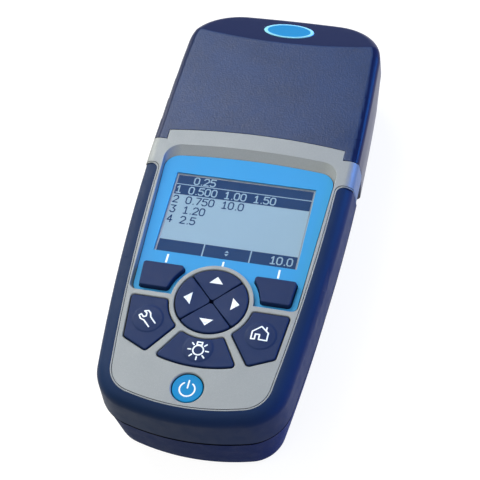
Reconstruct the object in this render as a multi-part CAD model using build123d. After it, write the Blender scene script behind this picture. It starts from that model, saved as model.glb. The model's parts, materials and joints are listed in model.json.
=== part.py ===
from build123d import *
import os
from math import cos, radians, sin, sqrt, tan

# Portable colorimeter lying on its back, in millimetres.
# X runs across it, Y towards the cap, Z up through the display face.

# Whole housing
LENGTH = 231.0
WIDTH = 98.6
HEIGHT = 48.0
CAP_SEAM_REACH = 90.0
WIDEST_REACH = 91.5
LOWER_SIDE_R = 980.0
CAP_SIDE_R = 1600.0
LOWER_END_BOW = 8.0
CAP_END_BOW = 4.0
LOWER_CORNER_R = 20.0
CAP_CORNER_R = 27.0
FOOT_PROUD = 0.8
PARTING_Z = 34.0
SEAM_Z = 28.0
FACE_DRAFT = 2.0
BACK_DRAFT = 5.0
FACE_EDGE_R = 4.5
BACK_EDGE_R = 6.0
SEAM_LEAN = 14.4
PART_GAP = 0.25

# Sloping end of the cap
BEVEL_REACH = 23.6
BEVEL_R = 260.0
BEVEL_SLOPE = 20.0
BEVEL_SPAN = 40.0
BEVEL_SWEEP = 30.0
CREASE_R = 5.0

# Soft grip round the sides and the lower end
GRIP_T = 2.4
GRIP_SIDE_W = 7.3
GRIP_END_W = 5.6
GRIP_DRAFT = 1.5
GRIP_EDGE_R = 6.0
GRIP_TOP_DROP = 14.7
GRIP_CORNER_R = 3.5
BOND_GAP = 0.05

# Front moulding
SHELL_WALL = 2.6
PLATE_T = 4.7
TONGUE_T = 2.7
TONGUE_MARGIN = 7.7
TONGUE_REACH = 8.3
TONGUE_BOW = 2.9
LIP_W = 0.5
GROOVE_W = 0.35
GROOVE_DEPTH = 0.4

# Display recess: outline at the face, and how far each wall runs in on its way down
RECESS_DEPTH = 2.7
OVERLAY_T = 0.5
FIT_GAP = 0.1
RECESS_MARGIN = 8.4
RECESS_CROWN_DROP = 0.5
RECESS_BOW = 2.4
RECESS_FOOT_RISE = 0.7
RECESS_CORNER_R = 8.0
RECESS_FOOT_R = 3.0
RECESS_RUN = 0.9
RECESS_TOP_RUN = 4.8

# Display
WINDOW_MARGIN = 8.4
WINDOW_HEAD_ROOM = 11.4
WINDOW_FOOT_ROOM = 5.1
WINDOW_T = 0.75
PANEL_SIDE_LAP = 1.0
PANEL_END_LAP = 2.25
PANEL_T = 2.2
BACKLIGHT_T = 3.4
STACK_GAP = 0.1

# Keys, their outlines measured from the middle of the arrow keys
KEY_GAP = 0.4
KEY_EDGE_R = 0.5
KEY_TRAVEL = 0.7
KEY_PROUD = 0.3
FLANGE_W = 0.8
FLANGE_T = 1.0
FLANGE_GAP = 0.3
OPENING_EASE = 0.45
EASE_ANGLE = 45.0
PAD_REACH = 57.5
PAD_R = 15.8
PAD_GROOVE = 0.5
PAD_PRESS = 0.6
PAD_INNER_R = 1.5
PAD_OUTER_R = 1.0
PAD_DISH_R = 120.0
PAD_DISH_DEPTH = 0.5
RING_R = 18.2
KEY_ARC_R = 18.95
KEY_CORNER_R = 1.3
SOFT_ARC_R = 21.0
SOFT_INNER_X = 16.0
SOFT_MARGIN = 12.5
SOFT_TOP = 15.8
SOFT_FOOT = 3.4
SIDE_MARGIN = 10.65
SIDE_TOP = -2.2
SIDE_ELBOW = -23.2
SIDE_FOOT = (22.2, -28.2)
SIDE_TIP = (12.0, -13.9)
LAMP_HEAD = (6.4, -12.0)
LAMP_FOOT = (17.2, -29.5)
LAMP_BOW = 2.6
DOME_R = 6.0
DOME_RISE = 0.35
SIDE_DOME = (24.8, -13.2)
LAMP_DOME = (0.0, -23.8)
POWER_REACH = 15.0
POWER_R = 6.55
POWER_SUNK = 0.5

# Circuit board and keypad mat behind the face
BOARD_T = 1.6
BOARD_INSET = 8.8
BOARD_TOP_DROP = 13.5
BOARD_REACH = 8.5
MAT_T = 1.2
MAT_TOP = 19.0
MAT_INSET = 11.0
MAT_STUD_R = 2.4
MAT_CLEAR = 0.3
BOSS_R = 2.6
BOARD_BOSS_HIGH = (12.1, 21.5)
BOARD_BOSS_LOW = (19.8, 23.5)
BOARD_SCREW_R = 1.0
BOARD_SCREW_LENGTH = 5.0
BOARD_HEAD_R = 1.9
BOARD_HEAD_T = 1.0
SCREW_PLAY = 0.1

# Rear moulding
REAR_INSET = 1.5
REAR_END_REACH = 1.4
REAR_DRAFT = 7.5
REAR_WALL = 2.4
GASKET_T = 0.5
GASKET_W = 1.7
GASKET_EDGE = 0.5
GASKET_GAP = 0.05
CASE_BOSS_HIGH = (10.7, 10.5)
CASE_BOSS_LOW = (28.3, 14.5)
CASE_BOSS_R = 3.3
CASE_COLUMN_R = 3.8
CASE_PILOT = 8.0
CASE_SCREW_R = 1.4
CASE_SCREW_LENGTH = 22.0
CASE_HEAD_R = 2.7
CASE_HEAD_T = 2.0
CASE_SINK_Z = 12.0
HOLE_PLAY = 0.3

# Battery bay and its door
CELL_R = 7.25
CELL_LENGTH = 50.0
CELL_NUB_R = 2.75
CELL_NUB = 1.0
CELL_EDGE_R = 0.6
CELL_COUNT = 4
CELL_PITCH = 14.8
CELL_PLAY = 0.35
BAY_REACH = 77.5
BAY_LENGTH = 55.0
BAY_WALL = 1.8
CONTACT_T = 0.4
CONTACT_W = 9.0
CONTACT_GAP = 0.1
DOOR_T = 2.0
DOOR_HALF = 33.0
DOOR_LENGTH = 78.0
DOOR_CORNER_R = 4.0
DOOR_GAP = 0.3
DOOR_SEAL_T = 0.7
DOOR_SEAL_W = 1.6
DOOR_SEAL_EDGE = 0.7
DOOR_SCREW_REACH = 34.5
DOOR_SCREW_R = 1.5
DOOR_SCREW_LENGTH = 7.0
DOOR_HEAD_R = 3.0
DOOR_HEAD_T = 1.0
DOOR_BOSS_R = 3.4
DOOR_BOSS_HEIGHT = 7.0
SLOT_W = 0.8
SLOT_DEPTH = 0.5

# Feet
FOOT_R = 4.5
FOOT_SEAT = 0.8
FOOT_HIGH = (16.3, -3.5)
FOOT_LOW = (24.8, 22.5)

# Cap
CAP_WALL = 2.5
CAP_SLIDE_GAP = 0.4
BADGE_LONG = 25.0
BADGE_SHORT = 13.5
BADGE_REACH = 12.3
BADGE_T = 0.9
BADGE_SUNK = 0.5
BADGE_EDGE_R = 0.35

# Measuring head under the cap
PLUG_DROP = 4.0
PLUG_WALL = 2.5
PLUG_GAP = 1.8
PLUG_FOOT_Z = 7.2
COLLAR_REACH = 22.5
DECK_T = 3.4
DECK_REACH = 9.5
WELL_R = 12.75
WELL_REACH = 41.5
WELL_FLOOR = 2.0
TOWER_CLEAR = 3.8
TOWER_R = 19.0
ARM_REACH = 34.0
ARM_HALF = 12.0
ARM_TOP_Z = 34.0
ARM_EDGE_R = 1.5
SEAL_R = 15.8
SEAL_W = 1.6
SEAL_T = 1.2
SEAL_SINK = 0.8
BEAM_Z = 20.0
BEAM_R = 3.0
LENS_SEAT_X = 15.0
LENS_T = 1.5
TUNNEL_R = 5.6
POCKET_DEPTH = 7.5
POCKET_HALF = 9.5
COVER_T = 1.5
OPTIC_BOARD_T = 1.6
LED_R = 1.5
LED_LENGTH = 3.4
LED_COUNT = 4
LED_CIRCLE_R = 2.9
DIODE_R = 4.2
DIODE_LENGTH = 3.2
DIODE_RIM = 0.6
HEAD_SCREW = (27.3, -5.5)
HEAD_SCREW_LENGTH = 9.0
HEAD_SCREW_T = 1.1
HEAD_SCREW_SINK = 1.3
HEAD_BOSS_HEIGHT = 11.0

# Socket beside the well
USB_X = 30.0
USB_Z = 24.0
USB_W = 7.6
USB_H = 2.8
USB_DEPTH = 5.4
USB_WALL = 0.35
PLUG_FLANGE_W = 13.0
PLUG_FLANGE_H = 7.6
PLUG_FLANGE_T = 1.8
PLUG_TONGUE = 3.6
PLUG_CORNER_R = 2.5
PLUG_TAB_W = 5.0
PLUG_TAB_T = 1.2
PLUG_TAB_RISE = 3.0
PLUG_PLAY = 0.15

LOWER_Y = -LENGTH / 2
CAP_Y = LENGTH / 2
CAP_SEAM_Y = CAP_Y - CAP_SEAM_REACH
WIDEST_Y = CAP_Y - WIDEST_REACH
BEVEL_Y = CAP_Y - BEVEL_REACH
BADGE_Y = CAP_Y - BADGE_REACH
DECK_Y = CAP_Y - DECK_REACH
WELL_Y = CAP_Y - WELL_REACH
COLLAR_Y = CAP_SEAM_Y + COLLAR_REACH
PLUG_Y = CAP_SEAM_Y - PLUG_DROP
GRIP_TOP_Y = CAP_SEAM_Y - GRIP_TOP_DROP
TONGUE_END_Y = CAP_SEAM_Y + TONGUE_REACH
BOARD_TOP_Y = CAP_SEAM_Y - BOARD_TOP_DROP
PAD_Y = LOWER_Y + PAD_REACH
POWER_Y = LOWER_Y + POWER_REACH
BAY_Y = LOWER_Y + BAY_REACH
BOARD_FOOT_Y = LOWER_Y + BOARD_REACH
RECESS_CROWN_Y = CAP_SEAM_Y - RECESS_CROWN_DROP
RECESS_FOOT_Y = PAD_Y + RECESS_FOOT_RISE
WINDOW_TOP_Y = RECESS_CROWN_Y - RECESS_TOP_RUN - WINDOW_HEAD_ROOM
WINDOW_FOOT_Y = PAD_Y + RING_R + WINDOW_FOOT_ROOM
WINDOW_Y = (WINDOW_TOP_Y + WINDOW_FOOT_Y) / 2
WINDOW_H = WINDOW_TOP_Y - WINDOW_FOOT_Y
WINDOW_W = WIDTH - 2 * (RECESS_MARGIN + WINDOW_MARGIN)
PANEL_W = WINDOW_W + 2 * PANEL_SIDE_LAP
PANEL_H = WINDOW_H + 2 * PANEL_END_LAP
BACK_Z = FOOT_PROUD
PLATE_Z = HEIGHT - PLATE_T
SEAT_Z = HEIGHT - RECESS_DEPTH
OVERLAY_Z = SEAT_Z + OVERLAY_T
PANEL_TOP_Z = OVERLAY_Z - WINDOW_T - GASKET_GAP
BACKLIGHT_TOP_Z = PANEL_TOP_Z - PANEL_T - STACK_GAP
BOARD_TOP_Z = BACKLIGHT_TOP_Z - BACKLIGHT_T - STACK_GAP
BOARD_Z = BOARD_TOP_Z - BOARD_T
FLANGE_TOP_Z = PLATE_Z - FLANGE_GAP
KEY_FOOT_Z = FLANGE_TOP_Z - FLANGE_T
CORE_INSET = GRIP_T
CORE_TOP_Z = HEIGHT - GRIP_T
FRONT_CAVITY = GRIP_T + SHELL_WALL
SLIDE_INSET = CAP_WALL + CAP_SLIDE_GAP
BAY_HALF = CELL_COUNT * CELL_PITCH / 2 + CELL_PLAY
DOOR_TOP_Z = BACK_Z + DOOR_T
REBATE_Z = DOOR_TOP_Z + DOOR_SEAL_T + GASKET_GAP
CELL_Z = REBATE_Z + CELL_PLAY + CELL_R
BAY_TOP_Z = CELL_Z + CELL_R + CELL_PLAY
DECK_Z = BACK_Z + SLIDE_INSET
TOWER_TOP_Z = HEIGHT - CAP_WALL - TOWER_CLEAR
WELL_DEPTH = TOWER_TOP_Z - DECK_Z - WELL_FLOOR
FAR = LENGTH
BASE = (Align.CENTER, Align.CENTER, Align.MIN)


def side_reach(y, inset=0.0):
    """Half width of the plan outline at y, on the bowed sides."""
    radius = LOWER_SIDE_R if y < WIDEST_Y else CAP_SIDE_R
    return WIDTH / 2 - radius + sqrt((radius - inset) ** 2 - (y - WIDEST_Y) ** 2)


def side_and_end(side_r, end_y, bow, inset):
    """Corner where a bowed side meets a bowed end, and how far the end reaches on the middle line."""
    way = 1 if end_y > 0 else -1
    corner_y = end_y - way * bow
    end_r = (side_reach(corner_y) ** 2 + bow**2) / (2 * bow)
    side_x, side_y = WIDTH / 2 - side_r, WIDEST_Y
    end_centre_y = end_y - way * end_r
    run_x, run_y = -side_x, end_centre_y - side_y
    span = sqrt(run_x**2 + run_y**2)
    side_r, end_r = side_r - inset, end_r - inset
    along = (span**2 + side_r**2 - end_r**2) / (2 * span)
    across = sqrt(side_r**2 - along**2)
    unit_x, unit_y = run_x / span, run_y / span
    corner = (side_x + along * unit_x + across * unit_y * -way, side_y + along * unit_y + across * unit_x * way)
    return corner, end_y - way * inset


def plan(inset=0.0):
    """Plan outline of the housing, pulled in by inset."""
    (low_x, low), low_end = side_and_end(LOWER_SIDE_R, -LENGTH / 2, LOWER_END_BOW, inset)
    (high_x, high), high_end = side_and_end(CAP_SIDE_R, LENGTH / 2, CAP_END_BOW, inset)
    low_mid = (low + WIDEST_Y) / 2
    high_mid = (high + WIDEST_Y) / 2
    half = WIDTH / 2 - inset
    low_mid_x = side_reach(low_mid, inset)
    high_mid_x = side_reach(high_mid, inset)
    face = make_face(
        [
            ThreePointArc((-low_x, low), (0, low_end), (low_x, low)),
            ThreePointArc((low_x, low), (low_mid_x, low_mid), (half, WIDEST_Y)),
            ThreePointArc((half, WIDEST_Y), (high_mid_x, high_mid), (high_x, high)),
            ThreePointArc((high_x, high), (0, high_end), (-high_x, high)),
            ThreePointArc((-high_x, high), (-high_mid_x, high_mid), (-half, WIDEST_Y)),
            ThreePointArc((-half, WIDEST_Y), (-low_mid_x, low_mid), (-low_x, low)),
        ]
    )
    corners = face.vertices().sort_by(Axis.Y)
    face = fillet(corners[:2], LOWER_CORNER_R - inset)
    corners = face.vertices().sort_by(Axis.Y)
    return fillet(corners[-2:], CAP_CORNER_R - inset)


def drafted(face, z, height, draft=0.0):
    """Prism from a plan face at level z, drawn in by the draft angle."""
    return extrude(Pos(0, 0, z) * face, height, taper=draft)


def slab(low, high):
    """Everything between two levels."""
    return Pos(0, 0, (low + high) / 2) * Box(FAR, 2 * FAR, high - low)


def beyond(y, shift=0.0):
    """Everything on the cap side of the leaning seam that meets the face at y."""
    lean = tan(radians(SEAM_LEAN))
    top = HEIGHT + PARTING_Z
    foot = -PARTING_Z
    near_top = y + shift + (HEIGHT - top) * lean
    near_foot = y + shift + (HEIGHT - foot) * lean
    side = Polyline((near_top, top), (near_foot, foot), (FAR, foot), (FAR, top), close=True)
    return extrude(Plane.YZ * make_face(side), FAR / 2, both=True)


def cap_bevel(depth=0.0):
    """Space cut away above the sloping end, the slope lowered square to itself by depth."""
    fall = tan(radians(BEVEL_SLOPE))
    top = HEIGHT - depth / cos(radians(BEVEL_SLOPE))
    axis_y = BEVEL_Y + BEVEL_R
    section = Polyline(
        (BEVEL_R + BEVEL_SPAN, top + BEVEL_SPAN * fall),
        (BEVEL_R - BEVEL_SPAN, top - BEVEL_SPAN * fall),
        (BEVEL_R - BEVEL_SPAN, top + BEVEL_SPAN * fall),
        close=True,
    )
    upright = Plane(origin=(0, axis_y, 0), x_dir=(0, -1, 0), z_dir=(-1, 0, 0))
    wedge = revolve(upright * make_face(section), Axis((0, axis_y, 0), (0, 0, 1)), BEVEL_SWEEP)
    half_turn = Pos(0, axis_y, 0) * Rot(0, 0, -BEVEL_SWEEP / 2) * Pos(0, -axis_y, 0)
    return half_turn * wedge


def rim_edges(solid, upward):
    """Edges where the lid faces of a hull, top or bottom, meet its walls."""
    lids = [face for face in solid.faces() if face.normal_at().Z * upward > cos(radians(2 * BEVEL_SLOPE))]
    rims = []
    for lid in lids:
        for edge in lid.edges():
            owners = sum(1 for other in lids if any(edge == mine for mine in other.edges()))
            if owners == 1:
                rims.append(edge)
    return rims


def crease_edges(solid):
    """Edge between the flat top of a hull and its sloping end."""
    lids = [face for face in solid.faces() if face.normal_at().Z > cos(radians(2 * BEVEL_SLOPE))]
    return [edge for edge in lids[0].edges() if any(edge == mine for mine in lids[1].edges())]


def hull(inset=0.0):
    """Housing form without its parts: drafted both ways from the parting level, end bevelled."""
    face = plan(inset)
    top = HEIGHT - inset
    foot = BACK_Z + inset
    solid = drafted(face, PARTING_Z, top - PARTING_Z, FACE_DRAFT)
    solid += drafted(face, PARTING_Z, foot - PARTING_Z, BACK_DRAFT)
    solid -= cap_bevel(inset)
    solid = fillet(crease_edges(solid), CREASE_R)
    solid = fillet(rim_edges(solid, 1), max(FACE_EDGE_R - inset, FACE_EDGE_R / 3))
    return fillet(rim_edges(solid, -1), max(BACK_EDGE_R - inset, BACK_EDGE_R / 3))


def tongue(gap=0.0):
    """Lip of the face that reaches over the measuring head to the cap."""
    half = WIDTH / 2 - TONGUE_MARGIN + gap
    end = TONGUE_END_Y + gap
    side = end - TONGUE_BOW
    arc = ThreePointArc((half, side), (0, end), (-half, side))
    sides = Polyline((-half, side), (-half, PLUG_Y), (half, PLUG_Y), (half, side))
    return drafted(make_face([arc, sides]), HEIGHT - TONGUE_T - gap, TONGUE_T + 2 * gap)


def mirrored(places):
    """Each (x, y) place and its twin across the middle."""
    return [(side * x, y) for x, y in places for side in (-1, 1)]


def near_seam(inward, drop):
    """Place measured in from the widest line and down from the cap's seam."""
    return (WIDTH / 2 - inward, CAP_SEAM_Y - drop)


def near_end(inward, rise):
    """Place measured in from the widest line and up from the lower end."""
    return (WIDTH / 2 - inward, LOWER_Y + rise)


def board_bosses():
    """Places of the bosses that carry the circuit board."""
    return mirrored([near_seam(*BOARD_BOSS_HIGH), near_end(*BOARD_BOSS_LOW)])


def case_bosses():
    """Places of the screws that close the housing."""
    return mirrored([near_seam(*CASE_BOSS_HIGH), near_end(*CASE_BOSS_LOW)])


def head_screw_places():
    """Places of the screws that hold the measuring head."""
    return mirrored([near_seam(*HEAD_SCREW)])


def foot_places():
    """Places of the feet."""
    return mirrored([near_seam(*FOOT_HIGH), near_end(*FOOT_LOW)])


def ring(centre_y, outer, inner, z, height):
    """Flat ring round a point on the middle line."""
    tube = Cylinder(outer, height, align=BASE) - Cylinder(inner, height, align=BASE)
    return Pos(0, centre_y, z) * tube


def post(x, y, z, radius, height):
    """Upright cylinder standing on level z."""
    return Pos(x, y, z) * Cylinder(radius, height, align=BASE)


def beam(x, y, z, radius, length):
    """Cylinder that starts at x and runs along X, backwards where the length is negative."""
    turn = 90 if length > 0 else -90
    return Pos(x, y, z) * Rot(0, turn, 0) * Cylinder(radius, abs(length), align=BASE)


def plate(width, length, height, radius, centre=(0, 0), z=0):
    """Flat plate with rounded corners, standing on level z."""
    return drafted(Pos(*centre) * RectangleRounded(width, length, radius), z, height)


def grip_zone(growth=0.0):
    """Space of the grip in plan: outside the light face, below its leaning upper end."""
    light_face = Pos(0, GRIP_END_W - GRIP_SIDE_W) * plan(GRIP_SIDE_W + growth)
    zone = slab(SEAM_Z, HEIGHT + GRIP_T) - drafted(light_face, 0, FAR)
    zone -= beyond(GRIP_TOP_Y, growth)
    inner = side_reach(GRIP_TOP_Y) - GRIP_SIDE_W
    corners = []
    for edge in zone.edges().filter_by(GeomType.LINE, reverse=True):
        middle = edge.center()
        if abs(abs(middle.X) - inner) < GRIP_SIDE_W / 2 and abs(middle.Y - GRIP_TOP_Y) < GRIP_SIDE_W:
            corners.append(edge)
    return fillet(corners, GRIP_CORNER_R)


def grip_core(growth=0.0):
    """Inner form that the grip is moulded over."""
    face = plan(CORE_INSET - growth)
    return drafted(face, SEAM_Z, CORE_TOP_Z + growth - SEAM_Z, GRIP_DRAFT)


def grip_overmould():
    """Soft skin round the sides and the lower end."""
    skin = drafted(plan(), SEAM_Z, HEIGHT - SEAM_Z, GRIP_DRAFT)
    skin = fillet(skin.faces().sort_by(Axis.Z)[-1].edges(), GRIP_EDGE_R)
    return (skin & grip_zone(-BOND_GAP)) - grip_core(BOND_GAP)


def disc(radius, x=0.0, y=0.0):
    """Round face in plan."""
    return Pos(x, y) * Circle(radius)


def beside(rise, margin):
    """How far a key reaches sideways: in from the housing's side, at a height above the arrow keys' middle."""
    return side_reach(PAD_Y + rise) - margin


def key_place(face, side=1):
    """Key outline set round the arrow keys: itself on the right, its mirror image on the left."""
    face = Pos(0, PAD_Y) * face
    return face if side > 0 else mirror(face, about=Plane.YZ)


def soft_key_outline(side):
    """Key under the display, its inner side following the arrow keys."""
    face = make_face(
        Polyline(
            (SOFT_INNER_X, SOFT_TOP),
            (beside(SOFT_TOP, SOFT_MARGIN), SOFT_TOP),
            (beside(SOFT_FOOT, SOFT_MARGIN), SOFT_FOOT),
            (SOFT_INNER_X, SOFT_FOOT),
            close=True,
        )
    )
    face -= disc(SOFT_ARC_R)
    return key_place(fillet(face.vertices(), KEY_CORNER_R), side)


def side_key_outline(side):
    """Key beside the arrow keys, hollowed to follow their ring."""
    outer = (beside(SIDE_TOP, SIDE_MARGIN), SIDE_TOP)
    elbow = (beside(SIDE_ELBOW, SIDE_MARGIN), SIDE_ELBOW)
    face = make_face(Polyline((SIDE_TIP[0], SIDE_TOP), outer, elbow, SIDE_FOOT, SIDE_TIP, close=True))
    face -= disc(KEY_ARC_R)
    return key_place(fillet(face.vertices(), KEY_CORNER_R), side)


def lamp_key_outline():
    """Key under the arrow keys, hollowed above and bowed below."""
    head_x, head_y = LAMP_HEAD
    foot_x, foot_y = LAMP_FOOT
    sides = Polyline((-foot_x, foot_y), (-head_x, head_y), (head_x, head_y), (foot_x, foot_y))
    bow = ThreePointArc((foot_x, foot_y), (0, foot_y - LAMP_BOW), (-foot_x, foot_y))
    face = make_face([sides, bow]) - disc(KEY_ARC_R)
    return key_place(fillet(face.vertices(), KEY_CORNER_R))


def pad_wedge(radius):
    """Quarter of the arrow disc that points up, clear of its neighbours by half a groove each side."""
    apex = PAD_GROOVE / 2 * sqrt(2)
    wedge = make_face(Polyline((0, apex), (radius, radius + apex), (-radius, radius + apex), close=True))
    return wedge & Circle(radius)


def pad_key_outline():
    """Arrow key with its corners rounded, pointing up from the middle of the disc."""
    face = pad_wedge(PAD_R)
    corners = face.vertices().sort_by(Axis.Y)
    face = fillet(corners[1:], PAD_OUTER_R)
    return fillet(face.vertices().sort_by(Axis.Y)[0], PAD_INNER_R)


def key_body(face, flange, top_z):
    """Key standing through the face, with a flange that holds it in from behind."""
    stem = drafted(face, KEY_FOOT_Z, top_z - KEY_FOOT_Z)
    stem = fillet(stem.faces().sort_by(Axis.Z)[-1].edges(), KEY_EDGE_R)
    return stem + drafted(flange, KEY_FOOT_Z, FLANGE_T)


def dome(x, rise, face):
    """Low round swelling on a key, kept within its top."""
    z = HEIGHT + KEY_PROUD
    radius = (DOME_R**2 + DOME_RISE**2) / (2 * DOME_RISE)
    ball = Pos(x, PAD_Y + rise, z + DOME_RISE - radius) * Sphere(radius)
    return ball & drafted(offset(face, -KEY_EDGE_R), z - DOME_RISE, 3 * DOME_RISE)


def soft_key(side):
    """Key under the display."""
    face = soft_key_outline(side)
    return key_body(face, offset(face, FLANGE_W), HEIGHT + KEY_PROUD)


def side_key(side):
    """Spanner key on the left, house key on the right."""
    face = side_key_outline(side)
    body = key_body(face, offset(face, FLANGE_W), HEIGHT + KEY_PROUD)
    return body + dome(side * SIDE_DOME[0], SIDE_DOME[1], face)


def lamp_key():
    """Key for the display's light."""
    face = lamp_key_outline()
    body = key_body(face, offset(face, FLANGE_W), HEIGHT + KEY_PROUD)
    return body + dome(*LAMP_DOME, face)


def power_key():
    """Round key a little below the face."""
    body = key_body(disc(POWER_R), disc(POWER_R + FLANGE_W), HEIGHT - POWER_SUNK)
    return Pos(0, POWER_Y, 0) * body


def arrow_key(turn):
    """One quarter of the arrow disc, its top dished towards the middle."""
    body = key_body(pad_key_outline(), pad_wedge(PAD_R + KEY_GAP + FLANGE_W), HEIGHT + KEY_PROUD)
    dish_z = HEIGHT + KEY_PROUD - PAD_DISH_DEPTH + PAD_DISH_R
    body -= Pos(0, 0, dish_z) * Sphere(PAD_DISH_R)
    return Pos(0, PAD_Y, 0) * Rot(0, 0, turn) * body


def opening(face, surface_z):
    """Hole for a key, with its mouth eased at the surface."""
    clear = offset(face, KEY_GAP)
    hole = drafted(clear, PLATE_Z - FLANGE_T, surface_z - PLATE_Z + 2 * FLANGE_T)
    return hole + drafted(clear, surface_z - OPENING_EASE, 2 * OPENING_EASE, -EASE_ANGLE)


def recess_outline(run, top_run, corner_r):
    """Outline of the display recess, pulled in by the run of its walls."""
    half = side_reach(RECESS_CROWN_Y - RECESS_BOW) - RECESS_MARGIN - run
    foot_half = side_reach(RECESS_FOOT_Y) - RECESS_MARGIN - run
    crown = RECESS_CROWN_Y - top_run
    shoulder = crown - RECESS_BOW
    foot = RECESS_FOOT_Y + run
    arc = ThreePointArc((half, shoulder), (0, crown), (-half, shoulder))
    sides = Polyline((-half, shoulder), (-foot_half, foot), (foot_half, foot), (half, shoulder))
    face = make_face([arc, sides])
    corners = face.vertices().sort_by(Axis.Y)
    face = fillet(corners[:2], RECESS_FOOT_R)
    return fillet(face.vertices().sort_by(Axis.Y)[-2:], corner_r)


def floor_outline(inset=0.0):
    """Floor of the display recess, less the ring round the arrow keys."""
    face = recess_outline(RECESS_RUN, RECESS_TOP_RUN, RECESS_CORNER_R - RECESS_RUN)
    if inset:
        face = offset(face, -inset)
    return face - disc(RING_R + inset, 0, PAD_Y)


def display_recess():
    """Space of the recess, with a broad slope at its top and steep sides."""
    face = recess_outline(0, 0, RECESS_CORNER_R)
    floor = recess_outline(RECESS_RUN, RECESS_TOP_RUN, RECESS_CORNER_R - RECESS_RUN)
    space = loft([Pos(0, 0, SEAT_Z) * floor, Pos(0, 0, HEIGHT) * face], ruled=True)
    return space - post(0, PAD_Y, SEAT_Z - FLANGE_T, RING_R, RECESS_DEPTH + 2 * FLANGE_T)


def edge_groove():
    """Fine groove beside the grip that leaves a thin lip at the edge of the light face."""
    band = grip_zone(LIP_W + GROOVE_W) - grip_zone(LIP_W)
    return band - hull(GROOVE_DEPTH)


def key_openings():
    """Every hole for a key."""
    holes = [opening(lamp_key_outline(), HEIGHT), opening(disc(POWER_R, 0, POWER_Y), HEIGHT)]
    holes.append(opening(disc(PAD_R, 0, PAD_Y), HEIGHT))
    for side in (-1, 1):
        holes.append(opening(side_key_outline(side), HEIGHT))
        clear = offset(soft_key_outline(side), KEY_GAP)
        holes.append(drafted(clear, PLATE_Z - FLANGE_T, 2 * RECESS_DEPTH + FLANGE_T))
    return holes


def front_shell():
    """Light front moulding: face, recess, ring, openings and the band round the sides."""
    form = hull()
    shell = (form & slab(SEAM_Z, HEIGHT)) - beyond(CAP_SEAM_Y)
    shell += form & tongue()
    shell -= grip_zone() - grip_core()
    shell -= edge_groove()
    shell -= drafted(plan(FRONT_CAVITY), SEAM_Z, PLATE_Z - SEAM_Z)
    shell -= display_recess()
    well = Box(PANEL_W + 2 * HOLE_PLAY, PANEL_H + 2 * HOLE_PLAY, 2 * RECESS_DEPTH)
    shell -= Pos(0, WINDOW_Y, PLATE_Z) * well
    for hole in key_openings():
        shell -= hole
    for x, y in board_bosses():
        shell += post(x, y, BOARD_TOP_Z, BOSS_R, PLATE_Z - BOARD_TOP_Z)
        shell -= post(x, y, BOARD_TOP_Z, BOARD_SCREW_R + SCREW_PLAY, BOARD_SCREW_LENGTH - BOARD_T)
    for x, y in case_bosses():
        shell += post(x, y, SEAM_Z, CASE_BOSS_R, PLATE_Z - SEAM_Z)
        shell -= post(x, y, SEAM_Z, CASE_SCREW_R + SCREW_PLAY, CASE_PILOT)
    return shell


def display_overlay():
    """Printed panel in the recess, open at the display and the soft keys."""
    panel = drafted(floor_outline(FIT_GAP), SEAT_Z, OVERLAY_T)
    for side in (-1, 1):
        panel -= drafted(offset(soft_key_outline(side), KEY_GAP), SEAT_Z, OVERLAY_T)
    return panel - Pos(0, WINDOW_Y, SEAT_Z) * Box(WINDOW_W, WINDOW_H, 2 * OVERLAY_T)


def display_window():
    """Clear window flush with the panel round it."""
    width = WINDOW_W - 2 * FIT_GAP
    height = WINDOW_H - 2 * FIT_GAP
    return Pos(0, WINDOW_Y, OVERLAY_Z - WINDOW_T) * Box(width, height, WINDOW_T, align=BASE)


def lcd_panel():
    """Display glass."""
    return Pos(0, WINDOW_Y, PANEL_TOP_Z - PANEL_T) * Box(PANEL_W, PANEL_H, PANEL_T, align=BASE)


def backlight():
    """Light guide behind the display, standing on the board, with a step for the glass."""
    base_z = BOARD_TOP_Z + GASKET_GAP
    return Pos(0, WINDOW_Y, base_z) * Box(PANEL_W, PANEL_H, BACKLIGHT_TOP_Z - base_z, align=BASE)


def board_outline(inset, top_y):
    """Plan outline of a part behind the face, from the foot of the board up to a station."""
    band = Pos(0, (BOARD_FOOT_Y + top_y) / 2) * Rectangle(WIDTH, top_y - BOARD_FOOT_Y)
    face = plan(inset) & band
    for x, y in case_bosses():
        face -= disc(CASE_BOSS_R + KEY_GAP, x, y)
    return face


def main_board():
    """Circuit board behind the display and the keys."""
    face = board_outline(BOARD_INSET, BOARD_TOP_Y)
    for x, y in board_bosses():
        face -= disc(BOARD_SCREW_R + SCREW_PLAY, x, y)
    return drafted(face, BOARD_Z, BOARD_T)


def key_centres():
    """Middle of each key."""
    reach = PAD_R * PAD_PRESS
    soft_rise = (SOFT_TOP + SOFT_FOOT) / 2
    soft = ((SOFT_INNER_X + beside(soft_rise, SOFT_MARGIN)) / 2, soft_rise)
    round_pad = [(0, reach), (0, -reach), (-reach, 0), (reach, 0), LAMP_DOME] + mirrored([soft, SIDE_DOME])
    return [(x, PAD_Y + rise) for x, rise in round_pad] + [(0, POWER_Y)]


def keypad_mat():
    """Rubber mat on the board with a stud under each key."""
    face = board_outline(MAT_INSET, PAD_Y + MAT_TOP)
    for x, y in board_bosses():
        face -= disc(BOSS_R + KEY_GAP, x, y)
    base_z = BOARD_TOP_Z + GASKET_GAP
    mat = drafted(face, base_z, MAT_T)
    for x, y in key_centres():
        mat += post(x, y, base_z, MAT_STUD_R, KEY_FOOT_Z - KEY_TRAVEL - MAT_CLEAR - base_z)
    return mat


def screw(x, y, z, head_r, head_t, shank_r, length):
    """Screw driven upwards, its head resting at level z."""
    body = post(x, y, z, shank_r, length) + post(x, y, z, head_r, head_t)
    slot = Box(2 * head_r, SLOT_W, 2 * SLOT_DEPTH)
    return body - Pos(x, y, z) * slot


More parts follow.
